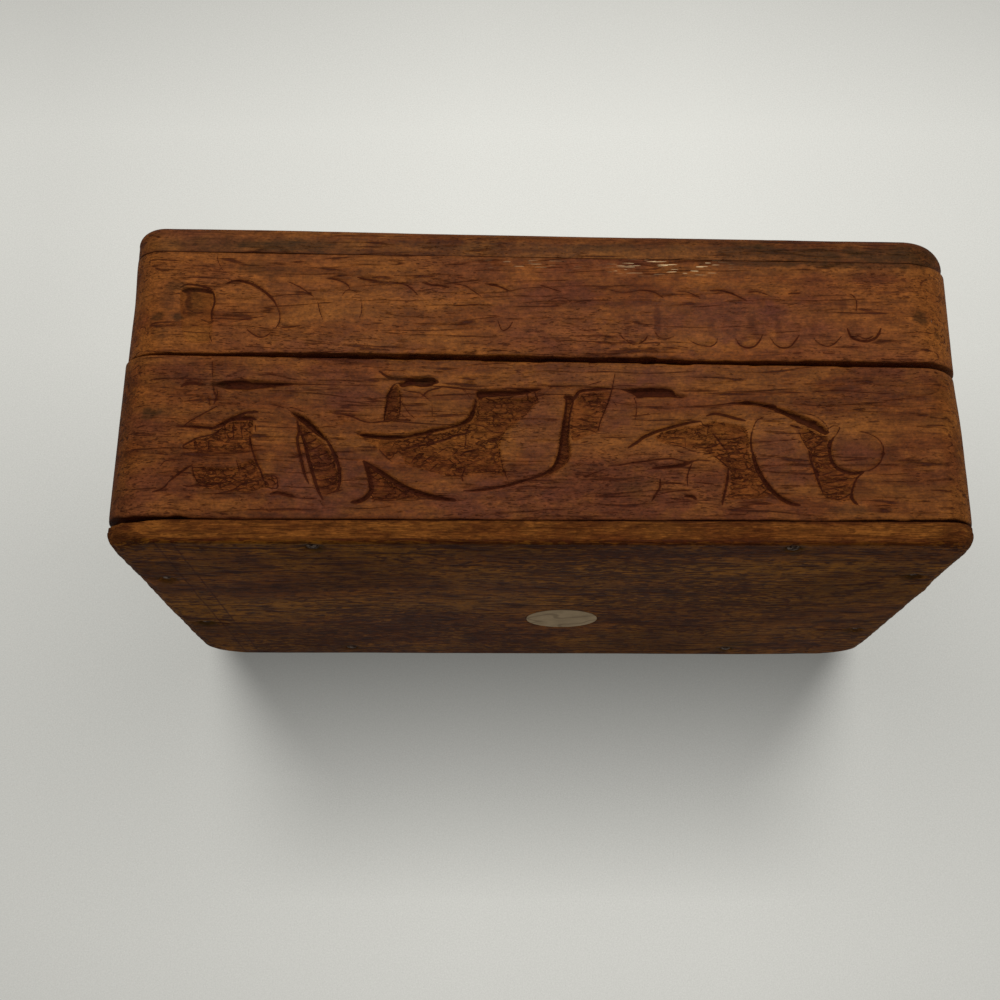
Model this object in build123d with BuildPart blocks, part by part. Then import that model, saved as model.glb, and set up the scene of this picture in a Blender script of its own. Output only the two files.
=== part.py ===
from build123d import *
import os
from math import atan, cos, degrees, radians, sin, tan

# Carved wooden keepsake box with a lid on two brass butt hinges.
# Millimetres. The origin is the centre of the underside: +X to the right along the
# carved front, +Y towards the hinges, +Z up.
# The box was glued up closed and then sawn apart, and the saw ran off level, so the
# lid, the rims and the hinge axis all lie in a plane that drops towards +X.

os.makedirs("parts", exist_ok=True)

# ---------------------------------------------------------------- driving dimensions
box_length = 203.0
box_depth = 118.0
body_height = 45.7  # underside to the sawn rim, at the middle of the length
lid_height = 34.2  # lid rim to lid top
saw_cut_tilt = 0.89  # degrees
rim_gap = 1.5  # the hinge leaves lie unsunk between the two rims
lid_side_shift = 0.35

front_board_thickness = 11.0
back_board_thickness = 11.0
end_board_thickness = 17.0
bottom_board_thickness = 5.6
top_board_thickness = 7.6

front_corner_radius = 9.0
lid_front_corner_radius = 10.5  # the lid is handled most, and worn most
back_corner_radius = 8.0
top_edge_radius = 4.3
bottom_end_radius = 4.5
bottom_arris_radius = 1.0

lid_stop_angle = 100.0
stop_face_relief = 1.0  # degrees left between the stop bevels when the lid is fully open
axis_inset = 2.2  # hinge axis to the back face

hinge_length = 25.0
hinge_end_inset = 41.5  # end of the box to the middle of each hinge
leaf_thickness = 0.7
leaf_width = 7.4
pin_diameter = 1.3
pin_clearance = 0.05
knuckle_count = 3
knuckle_gap = 0.2
barrel_clearance = 0.3

screw_head_radius = 1.45
screw_shank_radius = 0.75
screw_length = 6.0
screw_spacing = 16.0
screw_slot_width = 0.4
screw_slot_depth = 0.25

nail_head_radius = 1.7
nail_head_thickness = 0.6
nail_shank_width = 1.6
nail_taper = 1.0  # degrees on each face of the square shank
nail_sink = 0.3
corner_nail_sink = 1.0  # punched under the surface and filled
bottom_nail_length = 22.0
corner_nail_length = 28.0
fastener_clearance = 0.05
fastener_sides = 16  # flats that stand for each small round

bottom_nail_front_inset = 3.6  # front face to the front row
bottom_nail_back_margin = 2.8  # inner face of the back board to the back row
corner_nail_height = 31.5
lid_nail_height = 11.0  # above the lid rim
extra_nail_offset = 5.2  # the second nail at the lid's front left corner

label_diameter = 19.6
label_thickness = 0.15
label_x = 7.8
label_y = 12.6

# ------------------------------------------------------------------- derived sizes
half_length = box_length / 2
half_depth = box_depth / 2
barrel_radius = pin_diameter / 2 + pin_clearance + leaf_thickness
bore_radius = pin_diameter / 2 + pin_clearance
leaf_start = barrel_radius + barrel_clearance
leaf_seat = rim_gap / 2
bevel_angle = (lid_stop_angle + stop_face_relief) / 2
bevel_reach = axis_inset + 1.0
lid_wall_height = lid_height - top_board_thickness
axis_y = half_depth - axis_inset
hinge_offset = half_length - hinge_end_inset
cut_margin = 10.0

x_along_cut = (cos(radians(saw_cut_tilt)), 0, -sin(radians(saw_cut_tilt)))
up_from_cut = (sin(radians(saw_cut_tilt)), 0, cos(radians(saw_cut_tilt)))
body_rim = Plane(origin=(0, 0, body_height), x_dir=x_along_cut, z_dir=up_from_cut)
hinge_plane = body_rim.offset(rim_gap / 2)
lid_rim = body_rim.offset(rim_gap)

front_nail_y = -half_depth + bottom_nail_front_inset
back_nail_y = half_depth - back_board_thickness + bottom_nail_back_margin
end_nail_x = half_length - end_board_thickness / 2

# Eight nails hold the bottom board, set by eye along its four edges.
bottom_nail_spots = [
    (-52.5, front_nail_y),
    (58.5, front_nail_y),
    (-55.0, back_nail_y),
    (59.5, back_nail_y),
    (-end_nail_x, -26.5),
    (-end_nail_x, 20.0),
    (end_nail_x, -32.0),
    (end_nail_x, 25.5),
]


# ----------------------------------------------------------------- shared profiles
def plan_outline(plane, shift=0.0, front_radius=front_corner_radius):
    """Outline of the box seen from above, with its four rounded upright corners."""
    with BuildSketch(plane) as outline:
        with Locations((shift, 0)):
            Rectangle(box_length, box_depth)
        fillet(outline.vertices().group_by(Axis.Y)[0], front_radius)
        fillet(outline.vertices().group_by(Axis.Y)[-1], back_corner_radius)
    return outline.sketch


def board_plan(plane, span, shift=0.0, front_radius=front_corner_radius):
    """The piece of the outline that one upright board covers."""
    x_min, x_max, y_min, y_max = span
    with BuildSketch(plane) as plan:
        add(plan_outline(Plane.XY, shift, front_radius))
        with Locations(((x_min + x_max) / 2 + shift, (y_min + y_max) / 2)):
            Rectangle(x_max - x_min, y_max - y_min, mode=Mode.INTERSECT)
    return plan.sketch


def nail(length, clearance=0.0, sink=0.0):
    """A cut nail driven along +Z: a flat round head at the origin and a square shank.

    With a clearance and a sink it is the hole that the nail leaves.
    """
    width = nail_shank_width + 2 * clearance
    with BuildPart() as piece:
        with BuildSketch(Plane.XY.offset(-sink)):
            RegularPolygon(nail_head_radius + clearance, fastener_sides, major_radius=False)
        extrude(amount=nail_head_thickness + sink)
        with BuildSketch(Plane.XY.offset(nail_head_thickness)):
            Rectangle(width, width)
        extrude(amount=length - nail_head_thickness + clearance, taper=nail_taper)
    return piece.part


def hinge_screw(clearance=0.0):
    """A countersunk screw driven along +Z, its head flush at the origin."""
    head_taper = degrees(atan((screw_head_radius - screw_shank_radius) / leaf_thickness))
    with BuildPart() as piece:
        with BuildSketch():
            RegularPolygon(screw_head_radius + clearance, fastener_sides, major_radius=False)
        extrude(amount=leaf_thickness, taper=head_taper)
        with BuildSketch(Plane.XY.offset(leaf_thickness)):
            RegularPolygon(screw_shank_radius + clearance, fastener_sides, major_radius=False)
        extrude(amount=screw_length + clearance - leaf_thickness)
    return piece.part


def placed(solid, planes):
    """Copies of a solid, one on each plane."""
    return [solid.moved(plane.location) for plane in planes]


def group(solids, label):
    """Separate solids kept together as one node."""
    return Compound(children=solids, label=label)


# ------------------------------------------------------------------ fastener places
bottom_nail_planes = [
    Plane(origin=(x, y, nail_sink), z_dir=(0, 0, 1)) for x, y in bottom_nail_spots
]

body_corner_nail_planes = [
    Plane(
        origin=(side * end_nail_x, face * (half_depth - corner_nail_sink), corner_nail_height),
        z_dir=(0, -face, 0),
    )
    for side in (-1, 1) for face in (-1, 1)
]

lid_corner_spots = [
    (side * end_nail_x + lid_side_shift, face) for side in (-1, 1) for face in (-1, 1)
]
lid_corner_spots.append((-end_nail_x + extra_nail_offset + lid_side_shift, -1))
lid_corner_nail_planes = [
    Plane(
        origin=lid_rim.from_local_coords((x, face * (half_depth - corner_nail_sink), lid_nail_height)),
        z_dir=(0, -face, 0),
    )
    for x, face in lid_corner_spots
]

hinge_places = {"left": -hinge_offset, "right": hinge_offset}
screw_y = axis_y - (leaf_start + leaf_width) / 2
body_screw_planes = [
    Plane(
        origin=body_rim.offset(leaf_thickness).from_local_coords((x + dx, screw_y, 0)),
        x_dir=x_along_cut,
        z_dir=tuple(-value for value in up_from_cut),
    )
    for x in hinge_places.values() for dx in (-screw_spacing / 2, screw_spacing / 2)
]
lid_screw_planes = [
    Plane(
        origin=lid_rim.offset(-leaf_thickness).from_local_coords((x + dx, screw_y, 0)),
        x_dir=x_along_cut,
        z_dir=up_from_cut,
    )
    for x in hinge_places.values() for dx in (-screw_spacing / 2, screw_spacing / 2)
]

bottom_hole = nail(bottom_nail_length, fastener_clearance, nail_sink)
corner_hole = nail(corner_nail_length, fastener_clearance, corner_nail_sink)
bottom_nail_holes = placed(bottom_hole, bottom_nail_planes)
body_corner_nail_holes = placed(corner_hole, body_corner_nail_planes)
lid_corner_nail_holes = placed(corner_hole, lid_corner_nail_planes)
body_screw_holes = placed(hinge_screw(fastener_clearance), body_screw_planes)
lid_screw_holes = placed(hinge_screw(fastener_clearance), lid_screw_planes)


# ------------------------------------------------- room for the hinges at the back
# Both rims are planed to a V that closes on the hinge axis. The bevels meet face to
# face when the lid is fully open, and so stop it, and the barrels lie inside the V,
# behind nothing, so the closed box can also lie flat on its back.
def axis_section(x):
    """A plane across the hinge axis: local X runs backwards and local Y runs up."""
    origin = hinge_plane.from_local_coords((x, axis_y, 0))
    return Plane(origin=origin, x_dir=(0, 1, 0), z_dir=x_along_cut)


with BuildPart() as stop_bevel:
    with BuildSketch(axis_section(0)):
        with BuildLine():
            Polyline(
                (0, 0),
                (bevel_reach, bevel_reach * tan(radians(bevel_angle))),
                (bevel_reach, -bevel_reach * tan(radians(bevel_angle))),
                close=True,
            )
        make_face()
    extrude(amount=half_length + cut_margin, both=True)

with BuildPart() as barrel_notch:
    for place in hinge_places.values():
        with BuildSketch(axis_section(place)):
            Circle(barrel_radius + barrel_clearance)
        extrude(amount=hinge_length / 2 + barrel_clearance, both=True)


# ------------------------------------------------------------------- wooden boards
inner_x = half_length - end_board_thickness
inner_front = -half_depth + front_board_thickness
inner_back = half_depth - back_board_thickness
wall_spans = {
    "front_board": (-half_length, half_length, -half_depth, inner_front),
    "back_board": (-half_length, half_length, inner_back, half_depth),
    "left_end": (-half_length, -inner_x, inner_front, inner_back),
    "right_end": (inner_x, half_length, inner_front, inner_back),
}

with BuildPart() as bottom_board:
    add(plan_outline(Plane.XY))
    extrude(amount=bottom_board_thickness)
    fillet(bottom_board.faces().sort_by(Axis.Z)[0].edges(), bottom_arris_radius)
    with BuildSketch(Plane.XZ) as worn_ends:
        with Locations((0, bottom_board_thickness)):
            Rectangle(box_length, 2 * bottom_board_thickness)
        fillet(worn_ends.vertices().group_by(Axis.Y)[0], bottom_end_radius)
    extrude(amount=box_depth, both=True, mode=Mode.INTERSECT)
    for hole in bottom_nail_holes:
        add(hole, mode=Mode.SUBTRACT)
    with BuildSketch(Plane.XY):
        with Locations((label_x, label_y)):
            Circle(label_diameter / 2)
    extrude(amount=label_thickness, mode=Mode.SUBTRACT)
bottom_board.part.label = "bottom_board"
export_step(bottom_board.part, "parts/bottom_board.step")

for name, span in wall_spans.items():
    with BuildPart() as wall:
        add(board_plan(Plane.XY.offset(bottom_board_thickness), span))
        extrude(amount=body_height + cut_margin)
        split(bisect_by=body_rim, keep=Keep.BOTTOM)
        for hole in bottom_nail_holes + body_corner_nail_holes:
            add(hole, mode=Mode.SUBTRACT)
        if name == "back_board":
            add(stop_bevel.part, mode=Mode.SUBTRACT)
            add(barrel_notch.part, mode=Mode.SUBTRACT)
            for hole in body_screw_holes:
                add(hole, mode=Mode.SUBTRACT)
    wall.part.label = "body_" + name
    export_step(wall.part, "parts/body_" + name + ".step")

for name, span in wall_spans.items():
    with BuildPart() as wall:
        add(board_plan(lid_rim, span, lid_side_shift, lid_front_corner_radius))
        extrude(amount=lid_wall_height)
        for hole in lid_corner_nail_holes:
            add(hole, mode=Mode.SUBTRACT)
        if name == "back_board":
            add(stop_bevel.part, mode=Mode.SUBTRACT)
            add(barrel_notch.part, mode=Mode.SUBTRACT)
            for hole in lid_screw_holes:
                add(hole, mode=Mode.SUBTRACT)
    wall.part.label = "lid_" + name
    export_step(wall.part, "parts/lid_" + name + ".step")

with BuildPart() as lid_top_board:
    add(plan_outline(lid_rim.offset(lid_wall_height), lid_side_shift, lid_front_corner_radius))
    extrude(amount=top_board_thickness)
    fillet(lid_top_board.faces().sort_by(Axis.Z)[-1].edges(), top_edge_radius)
lid_top_board.part.label = "lid_top_board"
export_step(lid_top_board.part, "parts/lid_top_board.step")


# ------------------------------------------------------------ nails, screws, label
def screw_with_slot(angle):
    """A hinge screw whose slot was left at its own angle."""
    with BuildPart() as screw:
        add(hinge_screw())
        with BuildSketch(Plane.XY):
            Rectangle(3 * screw_head_radius, screw_slot_width, rotation=angle)
        extrude(amount=screw_slot_depth, mode=Mode.SUBTRACT)
    return screw.part


bottom_nails = group(placed(nail(bottom_nail_length), bottom_nail_planes), "bottom_nails")
export_step(bottom_nails, "parts/bottom_nails.step")

body_corner_nails = group(
    placed(nail(corner_nail_length), body_corner_nail_planes), "body_corner_nails"
)
export_step(body_corner_nails, "parts/body_corner_nails.step")

lid_corner_nails = group(
    placed(nail(corner_nail_length), lid_corner_nail_planes), "lid_corner_nails"
)
export_step(lid_corner_nails, "parts/lid_corner_nails.step")

slot_angles = (20, 75, 140, 5)
for owner, planes in (("body", body_screw_planes), ("lid", lid_screw_planes)):
    screws = [
        screw_with_slot(angle).moved(plane.location)
        for angle, plane in zip(slot_angles, planes)
    ]
    hinge_screws = group(screws, owner + "_hinge_screws")
    export_step(hinge_screws, "parts/" + owner + "_hinge_screws.step")

with BuildPart() as paper_label:
    with BuildSketch(Plane.XY):
        with Locations((label_x, label_y)):
            Circle(label_diameter / 2)
    extrude(amount=label_thickness)
paper_label.part.label = "paper_label"
export_step(paper_label.part, "parts/paper_label.step")


# ------------------------------------------------------------------- butt hinges
# Each leaf is a plate between the rims, with its knuckles rolled round the pin. The
# body leaf has the outer knuckles and the lid leaf those between them.
knuckle_pitch = hinge_length / knuckle_count
knuckle_length = knuckle_pitch - knuckle_gap


def hinge_leaf(place, side, knuckles, screw_holes):
    """One leaf of a hinge: side is -1 for the body's leaf and 1 for the lid's."""
    seat = side * leaf_seat
    face = side * (leaf_seat - leaf_thickness)
    plate_middle = (seat + face) / 2
    with BuildPart() as leaf:
        with BuildSketch(axis_section(place)):
            with Locations((-(leaf_start + leaf_width) / 2, plate_middle)):
                Rectangle(leaf_width - leaf_start, leaf_thickness)
        extrude(amount=hinge_length / 2, both=True)
        for index in knuckles:
            middle = place + (index + 0.5) * knuckle_pitch - hinge_length / 2
            with BuildSketch(axis_section(middle)):
                Circle(barrel_radius)
                with Locations((-leaf_start / 2, plate_middle)):
                    Rectangle(leaf_start, leaf_thickness)
            extrude(amount=knuckle_length / 2, both=True)
        with BuildSketch(axis_section(place)):
            Circle(bore_radius)
        extrude(amount=hinge_length, both=True, mode=Mode.SUBTRACT)
        for hole in screw_holes:
            add(hole, mode=Mode.SUBTRACT)
    return leaf.part


for name, place in hinge_places.items():
    body_leaf = hinge_leaf(place, -1, range(0, knuckle_count, 2), body_screw_holes)
    body_leaf.label = name + "_hinge_body_leaf"
    export_step(body_leaf, "parts/" + name + "_hinge_body_leaf.step")

    lid_leaf = hinge_leaf(place, 1, range(1, knuckle_count, 2), lid_screw_holes)
    lid_leaf.label = name + "_hinge_lid_leaf"
    export_step(lid_leaf, "parts/" + name + "_hinge_lid_leaf.step")

    with BuildPart() as hinge_pin:
        with BuildSketch(axis_section(place)):
            Circle(pin_diameter / 2)
        extrude(amount=hinge_length / 2, both=True)
    hinge_pin.part.label = name + "_hinge_pin"
    export_step(hinge_pin.part, "parts/" + name + "_hinge_pin.step")

axis_middle = hinge_plane.from_local_coords((0, axis_y, 0))
print("hinge axis through", [round(value, 4) for value in axis_middle])
print("hinge axis along", [round(-value, 6) for value in x_along_cut])
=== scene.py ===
"""Carved wooden keepsake box lying against a pale table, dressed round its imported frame.

Lengths in this script are millimetres in the frame of the part: +X to the right along
the carved front, +Y from the front to the hinges, +Z up. They become metres only where
a mesh, a lamp or the camera is made.
"""
import logging
import math
from dataclasses import dataclass, field
from enum import Enum
from typing import Callable, Sequence

import bmesh
import bpy
import numpy as np
from mathutils import Euler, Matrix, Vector


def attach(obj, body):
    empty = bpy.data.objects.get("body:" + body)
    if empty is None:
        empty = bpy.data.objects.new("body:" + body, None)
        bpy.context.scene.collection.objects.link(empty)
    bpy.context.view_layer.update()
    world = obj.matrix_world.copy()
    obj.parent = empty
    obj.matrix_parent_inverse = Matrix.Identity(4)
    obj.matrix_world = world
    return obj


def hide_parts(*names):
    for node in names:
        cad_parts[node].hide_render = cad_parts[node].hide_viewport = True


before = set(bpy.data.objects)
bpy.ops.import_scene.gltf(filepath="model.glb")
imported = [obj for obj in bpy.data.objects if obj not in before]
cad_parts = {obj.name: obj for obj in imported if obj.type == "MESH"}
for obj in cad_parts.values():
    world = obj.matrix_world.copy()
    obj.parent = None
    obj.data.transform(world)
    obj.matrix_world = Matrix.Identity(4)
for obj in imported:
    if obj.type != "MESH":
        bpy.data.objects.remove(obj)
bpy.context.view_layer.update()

LOG = logging.getLogger("keepsake_box")
MM = 0.001
Point = tuple[float, float]
Colour = tuple[float, float, float]
Field = Callable[[np.ndarray, np.ndarray], np.ndarray]
Socket = bpy.types.NodeSocket


# --------------------------------------------------------------------------- sizes
@dataclass(frozen=True)
class BoxSizes:
    """The box's own sizes, in millimetres and degrees."""

    length: float = 203.0
    depth: float = 118.0
    body_height: float = 45.7
    lid_height: float = 34.2
    rim_gap: float = 1.5
    saw_cut_tilt: float = 0.89
    lid_shift: float = 0.35
    front_thickness: float = 11.0
    back_thickness: float = 11.0
    end_thickness: float = 17.0
    bottom_thickness: float = 5.6
    top_thickness: float = 7.6
    front_corner_radius: float = 9.0
    lid_front_corner_radius: float = 10.5
    back_corner_radius: float = 8.0
    top_edge_radius: float = 4.3
    bottom_end_radius: float = 4.5
    axis_inset: float = 2.2
    bevel_angle: float = 50.5
    barrel_room: float = 1.7
    hinge_offset: float = 60.0
    hinge_length: float = 25.6
    label_radius: float = 9.8
    label_x: float = 7.8
    label_y: float = 12.6

    @property
    def half_length(self) -> float:
        """Half of the length."""
        return self.length / 2

    @property
    def half_depth(self) -> float:
        """Half of the depth."""
        return self.depth / 2

    @property
    def tilt(self) -> float:
        """The saw cut's tilt in radians."""
        return math.radians(self.saw_cut_tilt)


SIZES = BoxSizes()


class Grain(Enum):
    """The row axis that the fibres of a board follow."""

    ALONG_X = "x"
    ALONG_Y = "y"


# ---------------------------------------------------------------- numpy form tools
class RandomField:
    """A smooth random field over a plane, from -1 to 1, the same on every run."""

    LATTICE = 256

    def __init__(self, seed: int, cell_u: float, cell_v: float) -> None:
        """Args:
            seed: fixes the field.
            cell_u: size of one feature along the first direction.
            cell_v: size of one feature along the second direction.
        """
        self.cell_u = cell_u
        self.cell_v = cell_v
        self.values = np.random.default_rng(seed).uniform(-1, 1, (self.LATTICE, self.LATTICE))

    def __call__(self, u: np.ndarray, v: np.ndarray) -> np.ndarray:
        """Returns the field at each point."""
        a, b = u / self.cell_u, v / self.cell_v
        i, j = np.floor(a).astype(int), np.floor(b).astype(int)
        fa, fb = a - i, b - j
        sa, sb = fa * fa * (3 - 2 * fa), fb * fb * (3 - 2 * fb)
        n = self.LATTICE
        near = self.values[i % n, j % n] * (1 - sa) + self.values[(i + 1) % n, j % n] * sa
        far = self.values[i % n, (j + 1) % n] * (1 - sa) + self.values[(i + 1) % n, (j + 1) % n] * sa
        return near * (1 - sb) + far * sb


def smoothstep(value: np.ndarray) -> np.ndarray:
    """Returns an eased ramp from 0 to 1."""
    t = np.clip(value, 0, 1)
    return t * t * (3 - 2 * t)


def smooth_line(points: Sequence[Point], closed: bool = False, step: float = 0.25) -> np.ndarray:
    """A Catmull-Rom line through given points.

    Args:
        points: the points that the line passes through.
        closed: whether the line returns to its first point.
        step: the length of one piece of the line.

    Returns:
        An array of points along the line.
    """
    p = np.array(points, dtype=float)
    if len(p) == 2:
        count = max(2, int(np.linalg.norm(p[1] - p[0]) / step) + 1)
        return p[0] + (p[1] - p[0]) * np.linspace(0, 1, count)[:, None]
    ends = (p[-1:], p[:2]) if closed else (2 * p[:1] - p[1:2], 2 * p[-1:] - p[-2:-1])
    q = np.vstack([ends[0], p, ends[1]])
    line = []
    for k in range(1, len(q) - 2):
        before, a, b, after = q[k - 1], q[k], q[k + 1], q[k + 2]
        count = max(2, int(np.linalg.norm(b - a) / step) + 1)
        t = np.linspace(0, 1, count, endpoint=False)[:, None]
        line.append(0.5 * (2 * a + (b - before) * t + (2 * before - 5 * a + 4 * b - after) * t**2
                           + (3 * a - before - 3 * b + after) * t**3))
    line.append(p[:1] if closed else p[-1:])
    return np.vstack(line)


def distance_to_line(points: np.ndarray, line: np.ndarray) -> tuple[np.ndarray, np.ndarray]:
    """Measures points against a line.

    Args:
        points: one row for each point.
        line: the line's points in order.

    Returns:
        Each point's distance, and how far along the line its nearest place is, 0 to 1.
    """
    a, b = line[:-1], line[1:]
    ab = b - a
    length = np.maximum(np.hypot(ab[:, 0], ab[:, 1]), 1e-9)
    start = np.concatenate([[0], np.cumsum(length)[:-1]])
    ap = points[:, None, :] - a[None]
    t = np.clip((ap * ab[None]).sum(-1) / (length**2)[None], 0, 1)
    away = ap - t[..., None] * ab[None]
    d = np.hypot(away[..., 0], away[..., 1])
    nearest = d.argmin(1)
    rows = np.arange(len(points))
    along = (start[nearest] + t[rows, nearest] * length[nearest]) / length.sum()
    return d[rows, nearest], along


def inside(points: np.ndarray, line: np.ndarray) -> np.ndarray:
    """Returns whether each point lies inside a closed line."""
    x, y = points[:, 0][:, None], points[:, 1][:, None]
    x0, y0, x1, y1 = line[:-1, 0], line[:-1, 1], line[1:, 0], line[1:, 1]
    crosses = (y0 > y) != (y1 > y)
    at = x0 + (y - y0) / np.where(y1 == y0, 1e-12, y1 - y0) * (x1 - x0)
    return (crosses & (x < at)).sum(1) % 2 == 1


def blurred(grid: np.ndarray, cells: int) -> np.ndarray:
    """Returns a grid averaged over a square of cells, twice."""
    for axis in (0, 1, 0, 1):
        pad = [(cells, cells) if k == axis else (0, 0) for k in (0, 1)]
        total = np.cumsum(np.pad(grid, pad, mode="edge"), axis=axis)
        total = np.insert(total, 0, 0, axis=axis)
        high = np.take(total, range(2 * cells + 1, total.shape[axis]), axis=axis)
        low = np.take(total, range(0, total.shape[axis] - 2 * cells - 1), axis=axis)
        grid = (high - low) / (2 * cells + 1)
    return grid


def softened(grid: np.ndarray) -> np.ndarray:
    """Returns a grid with each point eased towards its neighbours, so strokes keep clean edges."""
    padded = np.pad(grid, 1, mode="edge")
    rows = padded[:-2] * 0.25 + padded[1:-1] * 0.5 + padded[2:] * 0.25
    return rows[:, :-2] * 0.25 + rows[:, 1:-1] * 0.5 + rows[:, 2:] * 0.25


# ------------------------------------------------------------------------- carving
@dataclass(frozen=True)
class Cut:
    """A knife or gouge stroke: a V that fades out at its ends."""

    points: tuple[Point, ...]
    width: float = 0.7
    depth: float = 0.45

    def sink(self, spots: np.ndarray) -> tuple[np.ndarray, np.ndarray]:
        """Returns how deep the stroke goes at each spot, and how far inside its dark line that is."""
        away, along = distance_to_line(spots, smooth_line(self.points))
        ends = np.clip(np.minimum(along, 1 - along) / 0.22, 0, 1)
        half = self.width / 2 * (0.35 + 0.65 * np.sqrt(ends))
        # Painted shade with grime: a dark line down the middle of the V.
        dark = half * min(0.35 + 0.45 * self.depth, 0.85) + 0.04 if self.depth > FAINT_DEPTH else -EDGE_REACH
        return self.depth * (0.4 + 0.6 * ends) * np.clip(1 - away / half, 0, 1), dark - away

    def reach(self) -> float:
        """How far from its line the stroke is felt."""
        return self.width / 2 + EDGE_REACH


@dataclass(frozen=True)
class Ground:
    """An area of background cut away round the ornament."""

    points: tuple[Point, ...]
    depth: float = 0.9
    wall: float = 0.5
    fall: Point = (0.0, 0.0)
    rough: float = 0.16

    def sink(self, spots: np.ndarray) -> tuple[np.ndarray, np.ndarray]:
        """Returns how deep the ground lies at each spot, and how far inside it that is."""
        line = smooth_line(self.points, closed=True)
        away, _ = distance_to_line(spots, line)
        within = inside(spots, line)
        centre = line.mean(0)
        size = np.maximum(np.ptp(line, axis=0), 1e-6)
        lean = ((spots - centre) / size * np.array(self.fall)).sum(1)
        chips = CHIPS(spots[:, 0], spots[:, 1]) * 0.6 + CHIPS_FINE(spots[:, 0], spots[:, 1]) * 0.4
        floor = self.depth * np.clip(1 + 1.6 * lean, 0.15, 2) + self.rough * chips
        depth = np.where(within, smoothstep(away / self.wall) * np.maximum(floor, 0.05), 0)
        return depth, np.where(within, away, -away)

    def reach(self) -> float:
        """How far from its line the ground is felt."""
        return EDGE_REACH


EDGE_REACH = 0.9
FAINT_DEPTH = 0.2
SHADED_DEPTH = 1.15
CHIPS = RandomField(11, 1.7, 0.8)
CHIPS_FINE = RandomField(12, 0.7, 0.5)
Stroke = Cut | Ground


def cuts(width: float, depth: float, *lines: tuple[Point, ...]) -> list[Cut]:
    """Returns several strokes of one width and depth."""
    return [Cut(line, width, depth) for line in lines]


# The leaf scroll on the front of the body, in millimetres from the middle of the length
# and from the underside. Each list gives its hollowed grounds first and then its cuts.

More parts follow.
